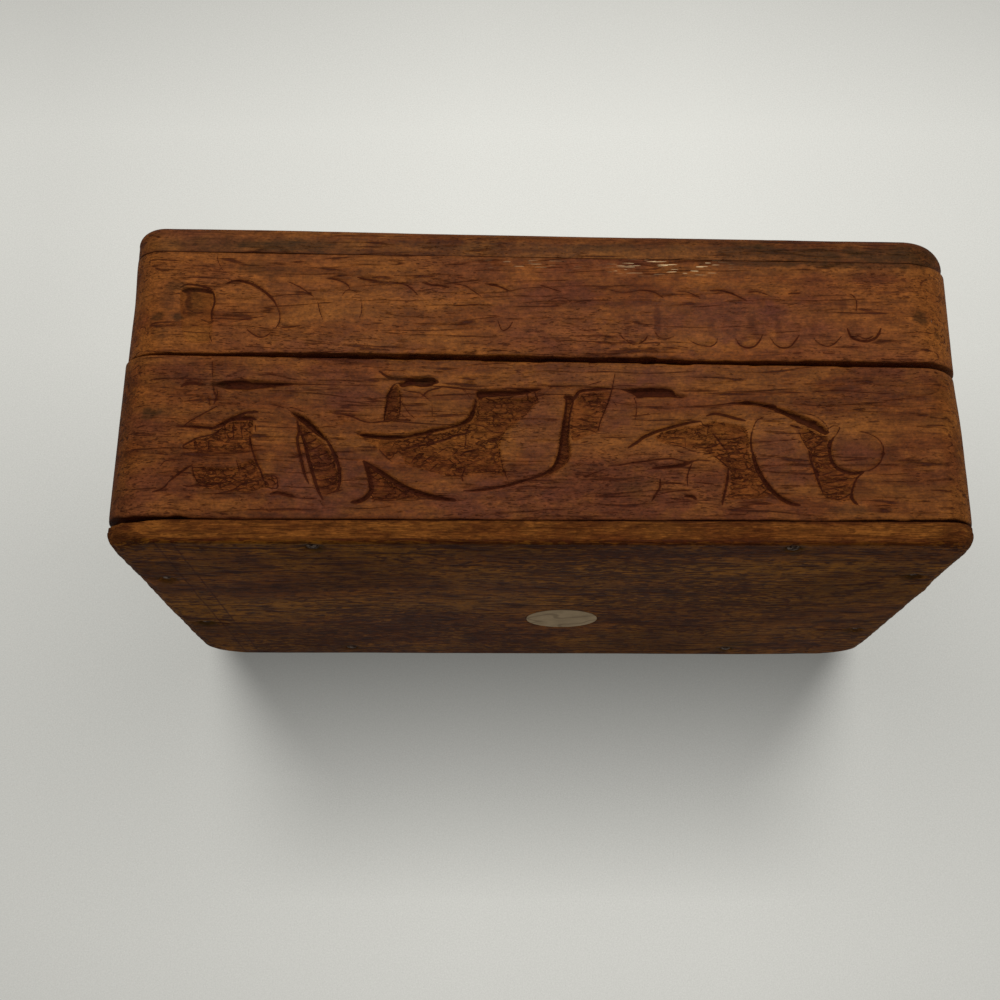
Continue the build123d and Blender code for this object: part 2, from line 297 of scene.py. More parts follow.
# The leaf spray at the left, with its hatched ground.
LEFT_SPRAY: list[Stroke] = [
    Ground(((-83.3, 23.5), (-82, 24.7), (-80, 25.5), (-77.2, 26.3), (-75, 28), (-73.2, 29.4), (-70.9, 30.3),
        (-68.3, 30.5), (-67.5, 29.1), (-67.8, 26.3), (-67.7, 23), (-71, 22.3), (-74.8, 22.4), (-78.5, 22.2),
        (-81.4, 22.5)), 0.45, 0.5, (0.1, 0.3), 0.14),
    Ground(((-81, 18.2), (-77.8, 18.5), (-74, 18.3), (-70.8, 18.5), (-68.3, 20), (-66.7, 20.5), (-65.6, 18.3),
        (-64.3, 15.8), (-64, 13.9), (-65.8, 12.9), (-68.5, 12.4), (-71.8, 12.6), (-75.5, 13.1), (-78.6, 13.6),
        (-79.9, 15.3), (-80.7, 16.8)), 0.5, 0.7, (0, 0.3), 0.2),
    Ground(((-64.1, 15.8), (-61.5, 16), (-61.2, 13.9), (-63.5, 13.6)), 0.45, 0.6, (0, 0), 0.1),
    Ground(((-79.6, 39.4), (-77.3, 39.9), (-74.4, 40.4), (-71.3, 40.9), (-69.4, 40.7), (-67.2, 40.5),
        (-63.5, 40.3), (-59.5, 40), (-55, 39.7), (-60, 39.2), (-64.3, 38.7), (-67, 38.3), (-69.1, 38),
        (-71.2, 38.2), (-74.1, 38.3), (-76.5, 38.9)), 1.25, 0.5, (0, 0), 0.25),
    Cut(((-85.6, 28.8), (-82.3, 28.7), (-79.2, 28.5), (-76.7, 28.5), (-74.4, 29.8), (-71.7, 31.2), (-69.1, 32.3),
        (-66.4, 32.4)), 0.75, 0.9),
    Cut(((-77.6, 28), (-75, 29.1), (-73, 30.4), (-70.7, 30.8), (-68.3, 30.9), (-66.8, 30.5)), 1, 1.1),
    *cuts(0.6, 0.6, ((-81.8, 22.7), (-83.6, 23.7), (-82, 24.9), (-80.4, 25.8), (-78.4, 26.3), (-76.3, 27),
        (-74.5, 28.6)), ((-82, 13.6), (-79.3, 14.2), (-77.5, 14.3), (-75.4, 14.6), (-73.3, 14.9),
        (-71.5, 15.3))),
    Cut(((-67.9, 25.8), (-67.5, 23.5), (-66.8, 21.5), (-66, 19.5), (-65, 17.6), (-64.3, 15.8),
        (-63.5, 14.1)), 0.6, 0.7),
    Cut(((-86.3, 14.8), (-84.8, 16.3), (-83.3, 17.5), (-82, 18.5), (-81.1, 18.9)), 0.7, 0.7),
    *cuts(0.6, 0.5, ((-89.8, 12.3), (-88, 13), (-86.9, 13.8), (-86.3, 14.8)), ((-77.9, 40.3), (-77.4, 38),
        (-76.8, 36), (-77.1, 34.4))),
    *cuts(0.5, 0.5, ((-81.1, 18.7), (-80.6, 16.8), (-79.9, 15.5), (-78.9, 14.4)), ((-75.2, 11.9), (-72.9, 12.4),
        (-70.9, 13.1), (-69.6, 14.3), (-67.5, 14.8), (-65.5, 15.3)), ((-64.6, 16.1), (-62.7, 16.5),
        (-61.3, 16.1), (-60.9, 14.9), (-60.9, 13.4), (-62.5, 13.4), (-63.9, 13.9))),
    Cut(((-62.5, 11.9), (-60.9, 12.3), (-59, 11.9), (-56.6, 11.2)), 0.9, 0.85),
    *cuts(0.5, 0.45, ((-57.8, 11.3), (-54.8, 10.9), (-51.5, 10.8)), ((-76.3, 33.9), (-77.9, 32.9), (-79.3, 32.1),
        (-80.9, 31.1), (-82.4, 30.1), (-83.8, 28.9))),
    Cut(((-85.3, 38.8), (-83.9, 39.7), (-81.8, 39.7), (-79.4, 39.3)), 1.5, 0.35),
    *cuts(0.45, 0.45, ((-68, 40.1), (-61.8, 39.9), (-54.6, 39.6), (-46.3, 39.4), (-38.2, 39.2)), ((-74.2, 29.3),
        (-73.9, 26)), ((-72.5, 29.6), (-71.9, 25.8)), ((-70.5, 29.8), (-69.9, 25.8)), ((-68.4, 30.4),
        (-68, 23.8)), ((-67, 29.1), (-66.7, 27.1)), ((-81.1, 25), (-80.7, 23)), ((-77.9, 25.8), (-77.5, 22.5)),
        ((-78.4, 45.8), (-78.1, 43.2), (-77.8, 40.6)), ((-78.7, 36.5), (-78, 33.9)), ((-76.7, 38.5),
        (-76.3, 35.2))),
    *cuts(0.4, 0.38, ((-77.8, 25.3), (-73.2, 25.6), (-68, 25.6)), ((-80.4, 22.1), (-74.3, 22.7)), ((-78, 21.9),
        (-72.9, 22), (-67.8, 22.3)), ((-73.7, 24.1), (-70.2, 23.4)), ((-70.9, 20.5), (-70.3, 18.5),
        (-69.8, 16.6)), ((-70.1, 18), (-68.2, 18.8), (-66.4, 19.8)), ((-69.9, 16.1), (-68.1, 16.8),
        (-66.1, 17.8)), ((-76.9, 16.3), (-73.2, 16.3), (-69.7, 16.1))),
    *cuts(0.38, 0.3, ((-88.5, 18.7), (-87.5, 20), (-86.1, 20.3), (-84.5, 20.4)), ((-88.3, 16.2), (-83.7, 16.5),
        (-80.6, 16.3)), ((-85, 13.3), (-83.4, 12.6), (-79.9, 12.9)), ((-83, 13.9), (-79, 13.7), (-76, 13.9)),
        ((-69.4, 12.1), (-66.6, 12)), ((-80.8, 18.5), (-78.2, 18.4)), ((-60.5, 37.8), (-54, 38.1),
        (-47.2, 38.5)), ((-68.6, 41.7), (-64.3, 42.1), (-60.5, 42.4)), ((-66.8, 29.8), (-63.8, 29.9)),
        ((-66.7, 27.3), (-62.9, 27.3)), ((-66.8, 25.3), (-62.1, 25.3)), ((-90, 22), (-87.9, 21.7)),
        ((-89.9, 26.2), (-84.5, 26.1))),
]

# The tall hollow between the spray and the trunk.
LEFT_LENS: list[Stroke] = [
    Ground(((-57, 30.1), (-55.7, 28.9), (-53.5, 26.9), (-51.1, 25.1), (-49.1, 22.8), (-47.8, 20.1),
        (-46.9, 17.1), (-46.8, 14.2), (-47.7, 12.7), (-49.7, 11.5), (-51.1, 12.4), (-52.2, 15.4), (-53.3, 18.8),
        (-54.5, 22.8), (-56, 26.3)), 0.75, 0.6, (0.4, 0.1), 0.2),
    Ground(((-60.2, 33.6), (-57.8, 32.3), (-55.6, 31.3), (-53.6, 29.8), (-51.6, 27.7), (-50.2, 26),
        (-49.2, 24.6), (-51.1, 25.7), (-52.8, 27), (-54.5, 28.4), (-56.5, 30.1), (-58.2, 31.7)), 1.5, 0.4,
        (0, 0), 0.1),
    *cuts(0.9, 0.95, ((-50.4, 26.1), (-48.9, 23.6), (-47.6, 20.8), (-46.7, 17.9), (-46.5, 15.4), (-46.8, 13.4),
        (-47.7, 12.4)), ((-56.4, 27.9), (-55.3, 25.3), (-54.6, 22.8), (-53.9, 20.3), (-53, 17.6), (-52.2, 15.1),
        (-51.4, 12.9), (-50.1, 10.5))),
    Cut(((-57.2, 30.4), (-56.6, 27.6), (-56.9, 25.8), (-56.6, 23.8), (-56, 21.6), (-55.4, 19.3), (-54.7, 16.8),
        (-53.6, 14.4)), 0.85, 0.8),
    *cuts(0.45, 0.4, ((-64.8, 34.5), (-62.6, 34.2), (-60.2, 33.4)), ((-59.3, 33.7), (-57.4, 33.2),
        (-55.4, 32.3)), ((-51, 10.5), (-49.6, 8.5))),
    *cuts(0.55, 0.5, ((-55.4, 27.1), (-54.2, 27.3), (-53.1, 27.6)), ((-54.8, 25), (-53.6, 25.2), (-52.3, 26)),
        ((-54.2, 23.1), (-52.8, 23.5), (-51.3, 24.4)), ((-53.7, 21.5), (-51.8, 21.7), (-49.5, 22.7)),
        ((-53.1, 19.2), (-51, 19.1), (-48.9, 19.7), (-47.5, 20.7)), ((-52.2, 15.7), (-50.6, 15.6), (-48.8, 16.1),
        (-46.9, 17.1)), ((-51.2, 13.6), (-49.1, 14.3), (-47.1, 15.1)), ((-49.7, 11.9), (-47.9, 12.5),
        (-45.6, 13))),
]

# The boat-shaped hollow in the middle, and the ground between it and the stem.
MIDDLE_BOAT: list[Stroke] = [
    Ground(((-44.3, 27.6), (-42.7, 27.3), (-39.9, 27), (-36.3, 26.8), (-32.8, 26.8), (-29.8, 27.2), (-27, 27.9),
        (-23.9, 28.6), (-21.1, 29.2), (-18.8, 30.1), (-17.3, 30.9), (-16.4, 32.8), (-15.7, 34.6), (-15.3, 36.4),
        (-14.7, 35.4), (-15, 33.3), (-15.7, 30.8), (-17.3, 29.5), (-19.7, 28.7), (-22.2, 28), (-25.8, 27.1),
        (-28.6, 26.4), (-31.6, 25.8), (-35.1, 25.5), (-38.6, 25.8), (-41.5, 26.1)), 1.25, 0.45, (0, 0), 0.12),
    Ground(((-41.7, 26.1), (-37.5, 25.5), (-32.8, 25.5), (-28.1, 26.2), (-23.4, 27.2), (-19.2, 28.5),
        (-16.4, 29.8), (-15, 31.8), (-14.6, 34.6), (-14.6, 36.7), (-11.7, 36.2), (-8.4, 36.2), (-5.1, 36.3),
        (-1.8, 36.7), (-0.3, 35.9), (-1.8, 33.4), (-3.7, 31.3), (-6, 29.5), (-7.9, 27.8), (-9.1, 25.2),
        (-9.3, 22.2), (-8.8, 19), (-7.9, 16.5), (-12.5, 17.4), (-16.2, 17), (-18.6, 16.2), (-22, 16.6),
        (-26.7, 17.9), (-31, 19.3), (-32.7, 22.1), (-35.2, 21), (-37.6, 23)), 0.6, 0.8, (0.2, 0.3), 0.24),
    Ground(((-14.8, 38), (-11.7, 38.3), (-8.6, 38.4), (-5.8, 38.4), (-2.2, 38.6), (1.4, 38.6), (-2, 37.6),
        (-5.5, 36.9), (-9.4, 36.6), (-12.7, 36.5), (-14.5, 35.8)), 1.3, 0.4, (0, 0), 0.2),
    Cut(((-32.2, 22.9), (-30.4, 23.8), (-28, 24.3), (-25.7, 24.6), (-23.8, 25.3), (-22, 25.9), (-19.9, 26.8),
        (-17.5, 27.2)), 0.75, 0.75),
    *cuts(0.5, 0.5, ((-37.6, 23.1), (-36.2, 21.5), (-34.5, 20)), ((-15.4, 29.6), (-13.6, 29.3), (-12.1, 28.5),
        (-10.7, 27.7), (-9.1, 27.5)), ((-8.2, 38.9), (-5.1, 38.6), (-2.2, 38.5), (1.1, 38.5))),
    *cuts(0.5, 0.45, ((-16.4, 29.5), (-17.2, 27.7), (-17.3, 25.5), (-17.6, 23.7)), ((-12.4, 25.1), (-10.7, 25.7),
        (-8.8, 25.7), (-7.3, 25.1))),
    *cuts(0.55, 0.5, ((-3.2, 38.3), (-2.5, 35.5)), ((-1.4, 38.5), (-0.8, 36.7), (-0.5, 35.7)), ((-0.6, 36.7),
        (1.3, 37.1)), ((-18.6, 21.7), (-17.5, 22.6), (-14.2, 23.5)), ((-18.1, 16.6), (-17.4, 18.7)),
        ((-18.3, 16.7), (-17.8, 15))),
    *cuts(0.4, 0.36, ((-34.7, 20.9), (-33.6, 22.3), (-32.2, 22.9)), ((-27.6, 25), (-26.7, 26.2), (-25.5, 27.2)),
        ((-26.4, 25), (-24.1, 26.2)), ((-30, 19.9), (-29, 21.4), (-27.8, 22.4)), ((-27.5, 19.7), (-25.2, 21.9)),
        ((-23.3, 20.4), (-21.2, 20.4)), ((-14.5, 33.5), (-11.9, 33.3)), ((-13.4, 32.6), (-11, 31.6),
        (-8.4, 31.2)), ((-8.6, 35.7), (-7.7, 34.5), (-6.4, 33.5)), ((-12.2, 29.7), (-9.1, 29.4)), ((-15.4, 21.7),
        (-13.8, 21.5)), ((-9.5, 23.7), (-9.1, 20.7), (-8.3, 17.7), (-7.2, 15)), ((-15.3, 17.2), (-12.5, 17.6),
        (-9.7, 17.7), (-5.8, 17.5), (-2.5, 17.3)), ((-21.8, 16.7), (-18.3, 16.6)), ((-20.8, 38.7), (-18.4, 38.5),
        (-17.2, 37.3), (-16, 35.6)), ((-23.8, 22.4), (-21.9, 23.7), (-20.5, 23.9)), ((-25.6, 17.9),
        (-23.7, 19.9)), ((-21.6, 18), (-19.5, 19.7)), ((-20.5, 21.7), (-19.1, 23.2)), ((-28.4, 20.9),
        (-27.1, 22.4)), ((-13.1, 27.5), (-12.4, 26))),
]

# The notches along the top of the ornament, from the post to the far right.
TOP_NOTCHES: list[Stroke] = [
    Ground(((-36.1, 36.9), (-35.2, 38.5), (-34.1, 39.4), (-33.3, 38.4), (-33.1, 36.6), (-33.1, 34), (-33.2, 32),
        (-33.4, 30.6), (-35, 30.3), (-36.6, 30.3), (-36.5, 33), (-36.4, 35.3)), 0.85, 0.5, (-0.2, 0), 0.1),
    Ground(((-33.6, 39.8), (-32.2, 40.9), (-30.3, 41.5), (-28, 41.5), (-25.6, 41.3), (-24.2, 40.4),
        (-25.9, 39.3), (-28.4, 39), (-30.5, 39.3), (-32.7, 38.9)), 1.2, 0.5, (0, 0), 0.3),
    Ground(((17.7, 38.7), (20.6, 38.6), (23.9, 38.9), (27.5, 39.1), (30.6, 38.9), (32, 38.1), (33.1, 37.3),
        (35.7, 36.9), (34, 36.3), (31.4, 36.4), (28.6, 36.5), (25.7, 36.5), (23.1, 36.5),
        (21.5, 37.7)), 1.2, 0.5, (0, 0), 0.25),
    Cut(((-38.3, 43.1), (-36.8, 42), (-35.4, 41.2), (-33.7, 41), (-31.8, 41.1), (-29.9, 41), (-28, 40.9),
        (-25.8, 41)), 0.85, 0.8),
    Cut(((-36.7, 30.2), (-36.3, 34), (-35.9, 36.6), (-35.2, 38.7), (-34.2, 39.8), (-32.7, 40)), 0.6, 0.6),
    *cuts(0.5, 0.5, ((-33.2, 37.9), (-33, 34.3), (-33.2, 30.7)), ((32.2, 38.1), (35.7, 38.1), (39.3, 38.2),
        (42.6, 38.2))),
    *cuts(0.6, 0.5, ((-47.1, 32.1), (-44.5, 31.4), (-42.8, 30.7), (-41.1, 30), (-39.3, 29.9), (-36.4, 30.2),
        (-34.6, 30.5), (-31.7, 30.5), (-30.1, 30.7)), ((-27.9, 36.5), (-26.5, 37.9), (-24.8, 38.5), (-22.9, 39)),
        ((-26, 39.2), (-22.4, 39), (-19.3, 38.7), (-16.5, 38.4), (-14.4, 38.1))),
    Cut(((-33.1, 38.4), (-30.7, 37.8), (-28.4, 37.4), (-27.1, 36.5), (-25.7, 35.1)), 0.5, 0.45),
    *cuts(0.42, 0.38, ((-38.3, 43.1), (-36.4, 43.4), (-34, 43.2), (-31.8, 43.4)), ((-32.8, 35.3), (-31.6, 33.3),
        (-30.6, 32), (-29.1, 30.6)), ((-32.7, 32), (-31.5, 31), (-30.5, 30.1)), ((-25.4, 34.6), (-25.3, 31.3)),
        ((17.3, 38.8), (18.2, 39.4), (20.6, 39.5), (23.2, 39.4)), ((2, 39.2), (5.1, 39.2), (8.7, 39.6)),
        ((11.6, 39.6), (14.7, 40.5)), ((44.1, 38.1), (48.8, 37.9), (53.5, 37.8), (58.3, 37.8), (63.3, 37.9)),
        ((63.3, 37.9), (66.8, 38.1), (71.4, 38.4), (76.1, 38), (80.8, 37.7), (85.5, 37.8)), ((-43, 35),
        (-37.8, 35.3))),
]

# The small dark triangle under the boat.
TRIANGLE: list[Stroke] = [
    Ground(((-40.5, 19.1), (-38.4, 17.9), (-35.7, 15.9), (-32.9, 14.2), (-29.6, 12.7), (-27.5, 11.8),
        (-28.9, 11), (-32.3, 10.7), (-35.8, 10.5), (-38.8, 10.6), (-39.1, 13), (-39.5, 15.9)), 0.9, 0.5,
        (-0.1, 0.2), 0.2),
    Cut(((-41.2, 20.1), (-39.3, 18.9), (-37.2, 17.5), (-35.3, 16.2), (-33.4, 14.9), (-31.3, 13.7), (-28.9, 12.7),
        (-26.6, 11.9), (-23.1, 11.1), (-19.4, 10.5)), 1.25, 1.2),
    Cut(((-41, 19.9), (-40.1, 17.9), (-39.4, 15.4), (-39.1, 13), (-40.2, 11.2), (-42, 10.2),
        (-43.6, 10)), 1.2, 1.1),
    *cuts(0.45, 0.4, ((-40.2, 17.4), (-37.9, 17.6)), ((-38.7, 14.4), (-35, 14.2)), ((-37.5, 11.6),
        (-34.5, 11.8)), ((-38, 13.1), (-32.9, 13)), ((-36.2, 15.9), (-35.9, 14.4)), ((-33.8, 14.3), (-33.5, 12)),
        ((-31.3, 13.2), (-31.1, 11.3)), ((-38.8, 10.6), (-33.5, 10.5))),
]

# The stem that sweeps up from the lower middle.
STEM: list[Stroke] = [
    Ground(((-1.1, 15.8), (1.2, 17.1), (2.8, 18.7), (4, 20.8), (4.7, 23.5), (5.2, 27), (5.9, 31.1), (6.5, 34.9),
        (6.4, 36.3), (7.9, 36), (7.4, 33.4), (6.9, 30.3), (6.9, 26.5), (7.1, 23.8), (7.1, 21.3), (5.9, 19.3),
        (4, 17.8), (1.9, 16.7)), 1.05, 0.45, (-0.2, 0), 0.2),
    Ground(((8.2, 35.2), (9.6, 36.7), (12, 37.4), (14.4, 37.5), (16.5, 37.8), (16.4, 35.7), (15.5, 33.2),
        (14.5, 30.4), (13.7, 27.8), (11.8, 26.9), (9.7, 26), (7.8, 25.3), (7.3, 28.1), (7.4, 32.1)), 0.5, 0.6,
        (-0.3, 0.1), 0.16),
    Cut(((-17.8, 12.8), (-14.8, 13), (-11.1, 13.5), (-6.9, 14.4), (-2.8, 15.7), (0.5, 16.9),
        (2.6, 18.5)), 0.8, 0.8),
    Cut(((1.9, 17.5), (3.5, 19.4), (4.6, 22.3), (5.2, 26.3), (5.9, 30.8), (6.4, 34.9),
        (6.3, 36.6)), 0.85, 0.95),
    Cut(((8.1, 35.7), (7.4, 32.9), (6.9, 29.8), (6.7, 26.3)), 0.6, 0.8),
    Cut(((5.8, 36.4), (6.8, 36.5), (8, 36.2)), 1, 1),
    Cut(((7.6, 35.2), (8.6, 36.7), (9.6, 38), (12, 38.4), (14.6, 38.6), (17.5, 38.7)), 0.9, 0.9),
    Cut(((18.1, 42.7), (17.5, 39.7), (16.7, 36.5), (15.7, 33.7), (14.8, 31.6), (14.2, 29.9),
        (13.7, 27.8)), 0.5, 0.55),
    *cuts(0.45, 0.4, ((10.3, 37.3), (12.5, 37.3), (15.3, 37)), ((11.3, 35.6), (12.4, 35.5), (13.8, 34.7)),
        ((11.9, 33.7), (14, 32.9)), ((10, 32.1), (11.9, 31.9), (13.5, 31.1)), ((8.4, 31.3), (10.2, 30.9),
        (12.1, 30.2)), ((7.6, 29.3), (9.5, 28.6), (12.3, 28.1), (13.5, 27.1)), ((8.3, 26.4), (9.6, 27.3)),
        ((9.4, 24.8), (11.5, 25.3)), ((17.4, 35.5), (18.3, 34.2)), ((22.2, 36.8), (22.9, 35), (22.9, 32.9),
        (22.5, 30.6)), ((21.1, 31.6), (26.1, 32.1)), ((5, 22.5), (6.4, 21.5)), ((7.7, 33.7), (9.6, 33.4))),
]

# The branch to the right, the ground under it and the cracked field below.
BRANCH: list[Stroke] = [
    Ground(((27.1, 26.6), (30.2, 27.9), (33.5, 28.8), (37.7, 29.5), (41.5, 30.2), (45.3, 29.7), (48.3, 28.7),
        (49, 26.4), (48.8, 23.7), (49.2, 20.7), (50.5, 17.7), (51.7, 15.2), (53.4, 13), (51.9, 11.6),
        (48.9, 11.1), (45.7, 10.9), (43.4, 11), (44, 13.5), (44.3, 16.2), (44.2, 18.2), (42.5, 20.1),
        (40.2, 21.9), (37.5, 23.1), (34.2, 23.9), (31, 24.6), (28.2, 25.1)), 0.55, 0.8, (0.15, 0.25), 0.22),
    Cut(((20.6, 23.6), (22.6, 24.9), (24.2, 26.2), (26.1, 27.2), (28.3, 28.1), (30.7, 28.8), (33, 29.5),
        (35.4, 30.1), (38, 30.4)), 0.9, 0.95),
    Cut(((38, 30.4), (38.8, 29.4), (40.8, 29.5)), 0.5, 0.5),
    Cut(((39.3, 31.7), (41.2, 32.3), (43.5, 32), (46.1, 31.2), (48.6, 30.5)), 1.1, 0.5),
    Cut(((40.5, 27.9), (41.6, 26.4), (42.7, 24.7), (43.9, 23)), 0.6, 0.6),
    Cut(((40.9, 21.6), (42.5, 20.2), (44, 18.6)), 0.6, 0.5),
    Cut(((15.9, 19.1), (18.2, 19.3), (21, 19.8), (23.3, 20.1), (25.7, 20.5), (28, 20.8), (30.8, 21),
        (33.1, 20.4), (35.2, 20.1)), 0.6, 0.55),
    Cut(((26.1, 18.5), (28.4, 18.8), (31.5, 19.1), (33.8, 19.6), (35.7, 20.2)), 0.95, 0.8),
    Cut(((43.8, 18.4), (43.5, 15.7), (42.9, 13.2), (42.3, 11), (42, 9.6)), 0.75, 0.7),
    Cut(((33.3, 11.7), (35.1, 11.7), (36.2, 11)), 0.9, 0.8),
    Cut(((27.9, 15.9), (27.8, 13.9), (26.8, 12.2), (25.8, 10.5)), 0.9, 0.4),
    *cuts(0.5, 0.45, ((35, 20.3), (37.3, 20.6), (39.9, 20.4)), ((35.5, 19.9), (34.7, 18.1), (34.2, 16.2),
        (34.3, 13.9)), ((27.3, 12.1), (29.6, 12.7), (32.4, 13), (34.9, 13.2)), ((30.3, 24.6), (32.8, 24.1),
        (35.1, 23.1), (37.7, 22.4)), ((32.1, 22.9), (33.9, 22.3)), ((38.1, 22), (40.9, 22.6)), ((42.5, 26.1),
        (45.1, 26.1), (47.7, 26.7)), ((36.3, 24.1), (39.4, 23.9), (42, 24.9))),
    *cuts(0.4, 0.36, ((10, 16.2), (12.8, 17.4), (15.9, 18.6)), ((29.2, 26.1), (31.7, 26.4), (33.8, 26.1)),
        ((34.1, 26.4), (34.1, 23.8)), ((44.1, 25.4), (45.7, 24.4), (47.3, 23.3)), ((30.2, 11), (31.6, 11.2)),
        ((45.6, 10.2), (49.8, 10), (54.2, 10)), ((28.8, 10), (34.6, 10.5), (39.4, 10.8)), ((44.3, 16.2),
        (47.8, 16.5)), ((44.4, 13.4), (48.2, 14)), ((44.6, 12), (49, 12.3)), ((45.1, 18.2), (48.9, 18.7)),
        ((43.6, 20.4), (48.3, 20.9)), ((40.1, 20.1), (41.1, 20.1)), ((29.8, 17.1), (33.2, 17.1)), ((36.5, 18.1),
        (41.4, 17.9)), ((28.1, 14.7), (33.4, 14.9)), ((35.7, 15.2), (39.9, 14.7)), ((14.2, 26.3),
        (21.9, 26.1))),
]

# The arch over the leaf.
ARCH: list[Stroke] = [
    Ground(((44.6, 34.8), (46.8, 35.3), (48.9, 35.5), (51.5, 35.3), (54.1, 34.8), (56.8, 33.9), (59.1, 33.1),
        (61, 32.3), (62.8, 31.6), (64.6, 30.8), (66.4, 29.8), (67.6, 28.4), (67.4, 27), (65.8, 27.6), (64, 28.6),
        (61.7, 29.8), (59.5, 31), (57.2, 32.3), (54.4, 33.6), (51.4, 34.4), (47.9, 34.6)), 1.2, 0.45,
        (0, 0), 0.3),
    Cut(((36.3, 34.3), (39.1, 34.3), (41.7, 34.5), (45.1, 34.9)), 0.5, 0.5),
    Cut(((58.9, 29.5), (60.3, 29.1), (61.4, 28.8)), 0.8, 0.7),
    Cut(((61.5, 32.7), (64.3, 32.1), (66.3, 30.9), (67.6, 29.2), (67.8, 28)), 0.45, 0.4),
    *cuts(0.4, 0.36, ((53.9, 32.9), (56, 32.7)), ((67.8, 28.6), (69.2, 29.4), (70.5, 29), (70, 27.7),
        (69, 26.3)), ((50.1, 28.5), (51.2, 30.6), (53.2, 31.7)), ((50, 25.4), (56.3, 25.5), (61, 26))),
]

# The plain leaf and the hatched ground at its right.
LEAF: list[Stroke] = [
    Ground(((61.2, 28.7), (64, 28), (66.2, 27), (67.6, 26.2), (67.7, 24.2), (67.5, 22), (68.5, 19.7),
        (70.2, 18.3), (72.5, 17.6), (74.8, 17.6), (73.6, 16.3), (72.5, 14.3), (72.1, 12.4), (71.3, 10.8),
        (68.7, 10.8), (66, 11.5), (65.3, 13.8), (64.6, 16.8), (63.8, 19.7), (63.1, 22.7),
        (61.9, 25.7)), 0.5, 0.5, (-0.1, 0.2), 0.18),
    Cut(((50.1, 28.5), (49.6, 26.4), (49.5, 24.2), (49.8, 21.7), (50.4, 19.2)), 0.55, 0.65),
    Cut(((49.7, 22.7), (50.3, 19.7), (51.2, 17.2), (52.4, 15), (53.7, 13.2), (55.2, 11.7), (56.7, 10.6),
        (58.3, 9.9), (59.9, 9.6)), 1.15, 1.15),
    Cut(((62.8, 23.2), (63.2, 21), (63.8, 18.7), (64.3, 16.5), (64.9, 14.5), (65.5, 12.4)), 0.7, 0.85),
    Cut(((64.1, 18.7), (64.6, 17.7), (64.7, 16.8)), 0.9, 0.9),
    Cut(((63.5, 21.4), (63.8, 22.1), (65.4, 21.7), (67.6, 22)), 0.6, 0.6),
    *cuts(0.48, 0.44, ((60.7, 28.2), (61.7, 25.7), (62.9, 23.2)), ((61.9, 25.1), (63.4, 26.1), (65.3, 26.7),
        (67.6, 26.6)), ((62.5, 23.6), (64.4, 24.1), (66.4, 25.5)), ((61.3, 27.5), (63, 27.7), (64.9, 28.1)),
        ((68.3, 11), (70.4, 11.7), (71.9, 12.6)), ((65.5, 17.1), (68.6, 18.2)), ((65.6, 15.2), (67.9, 15.4),
        (71.7, 16.3)), ((65.7, 13.5), (68.5, 14), (71.6, 14.8)), ((65.2, 19.7), (68.3, 20)), ((64.9, 21),
        (66.2, 20.5)), ((67.4, 17), (70.9, 17.3)), ((66.1, 12.2), (68.9, 12.6))),
]

# The round berry with its foot.
BERRY: list[Stroke] = [
    Cut(((69, 26.5), (68.1, 24.9), (67.8, 23), (68.1, 20.7), (69.1, 19), (70.9, 18), (73.2, 17.6),
        (75.3, 17.9)), 0.9, 0.9),
    Cut(((74.9, 17.9), (77.2, 18.5), (79.1, 20), (80.1, 21.9), (80.4, 23.8), (79.9, 25.4), (78.9, 26.5),
        (77.1, 27.5), (74.5, 28.1)), 0.5, 0.5),
    Cut(((75.3, 17.8), (73.6, 16.3), (72.6, 14.3), (72.1, 12.4), (72.6, 10.7), (73.7, 9.3)), 0.6, 0.6),
    Cut(((71.7, 11.9), (72.3, 10.9), (73.1, 9.9)), 0.9, 0.8),
    Cut(((68, 25.7), (67.4, 24.1)), 0.6, 0.5),
]

BODY_CARVING: list[Stroke] = [*LEFT_SPRAY, *LEFT_LENS, *MIDDLE_BOAT, *TOP_NOTCHES, *TRIANGLE, *STEM, *BRANCH, *ARCH,
                              *LEAF, *BERRY]

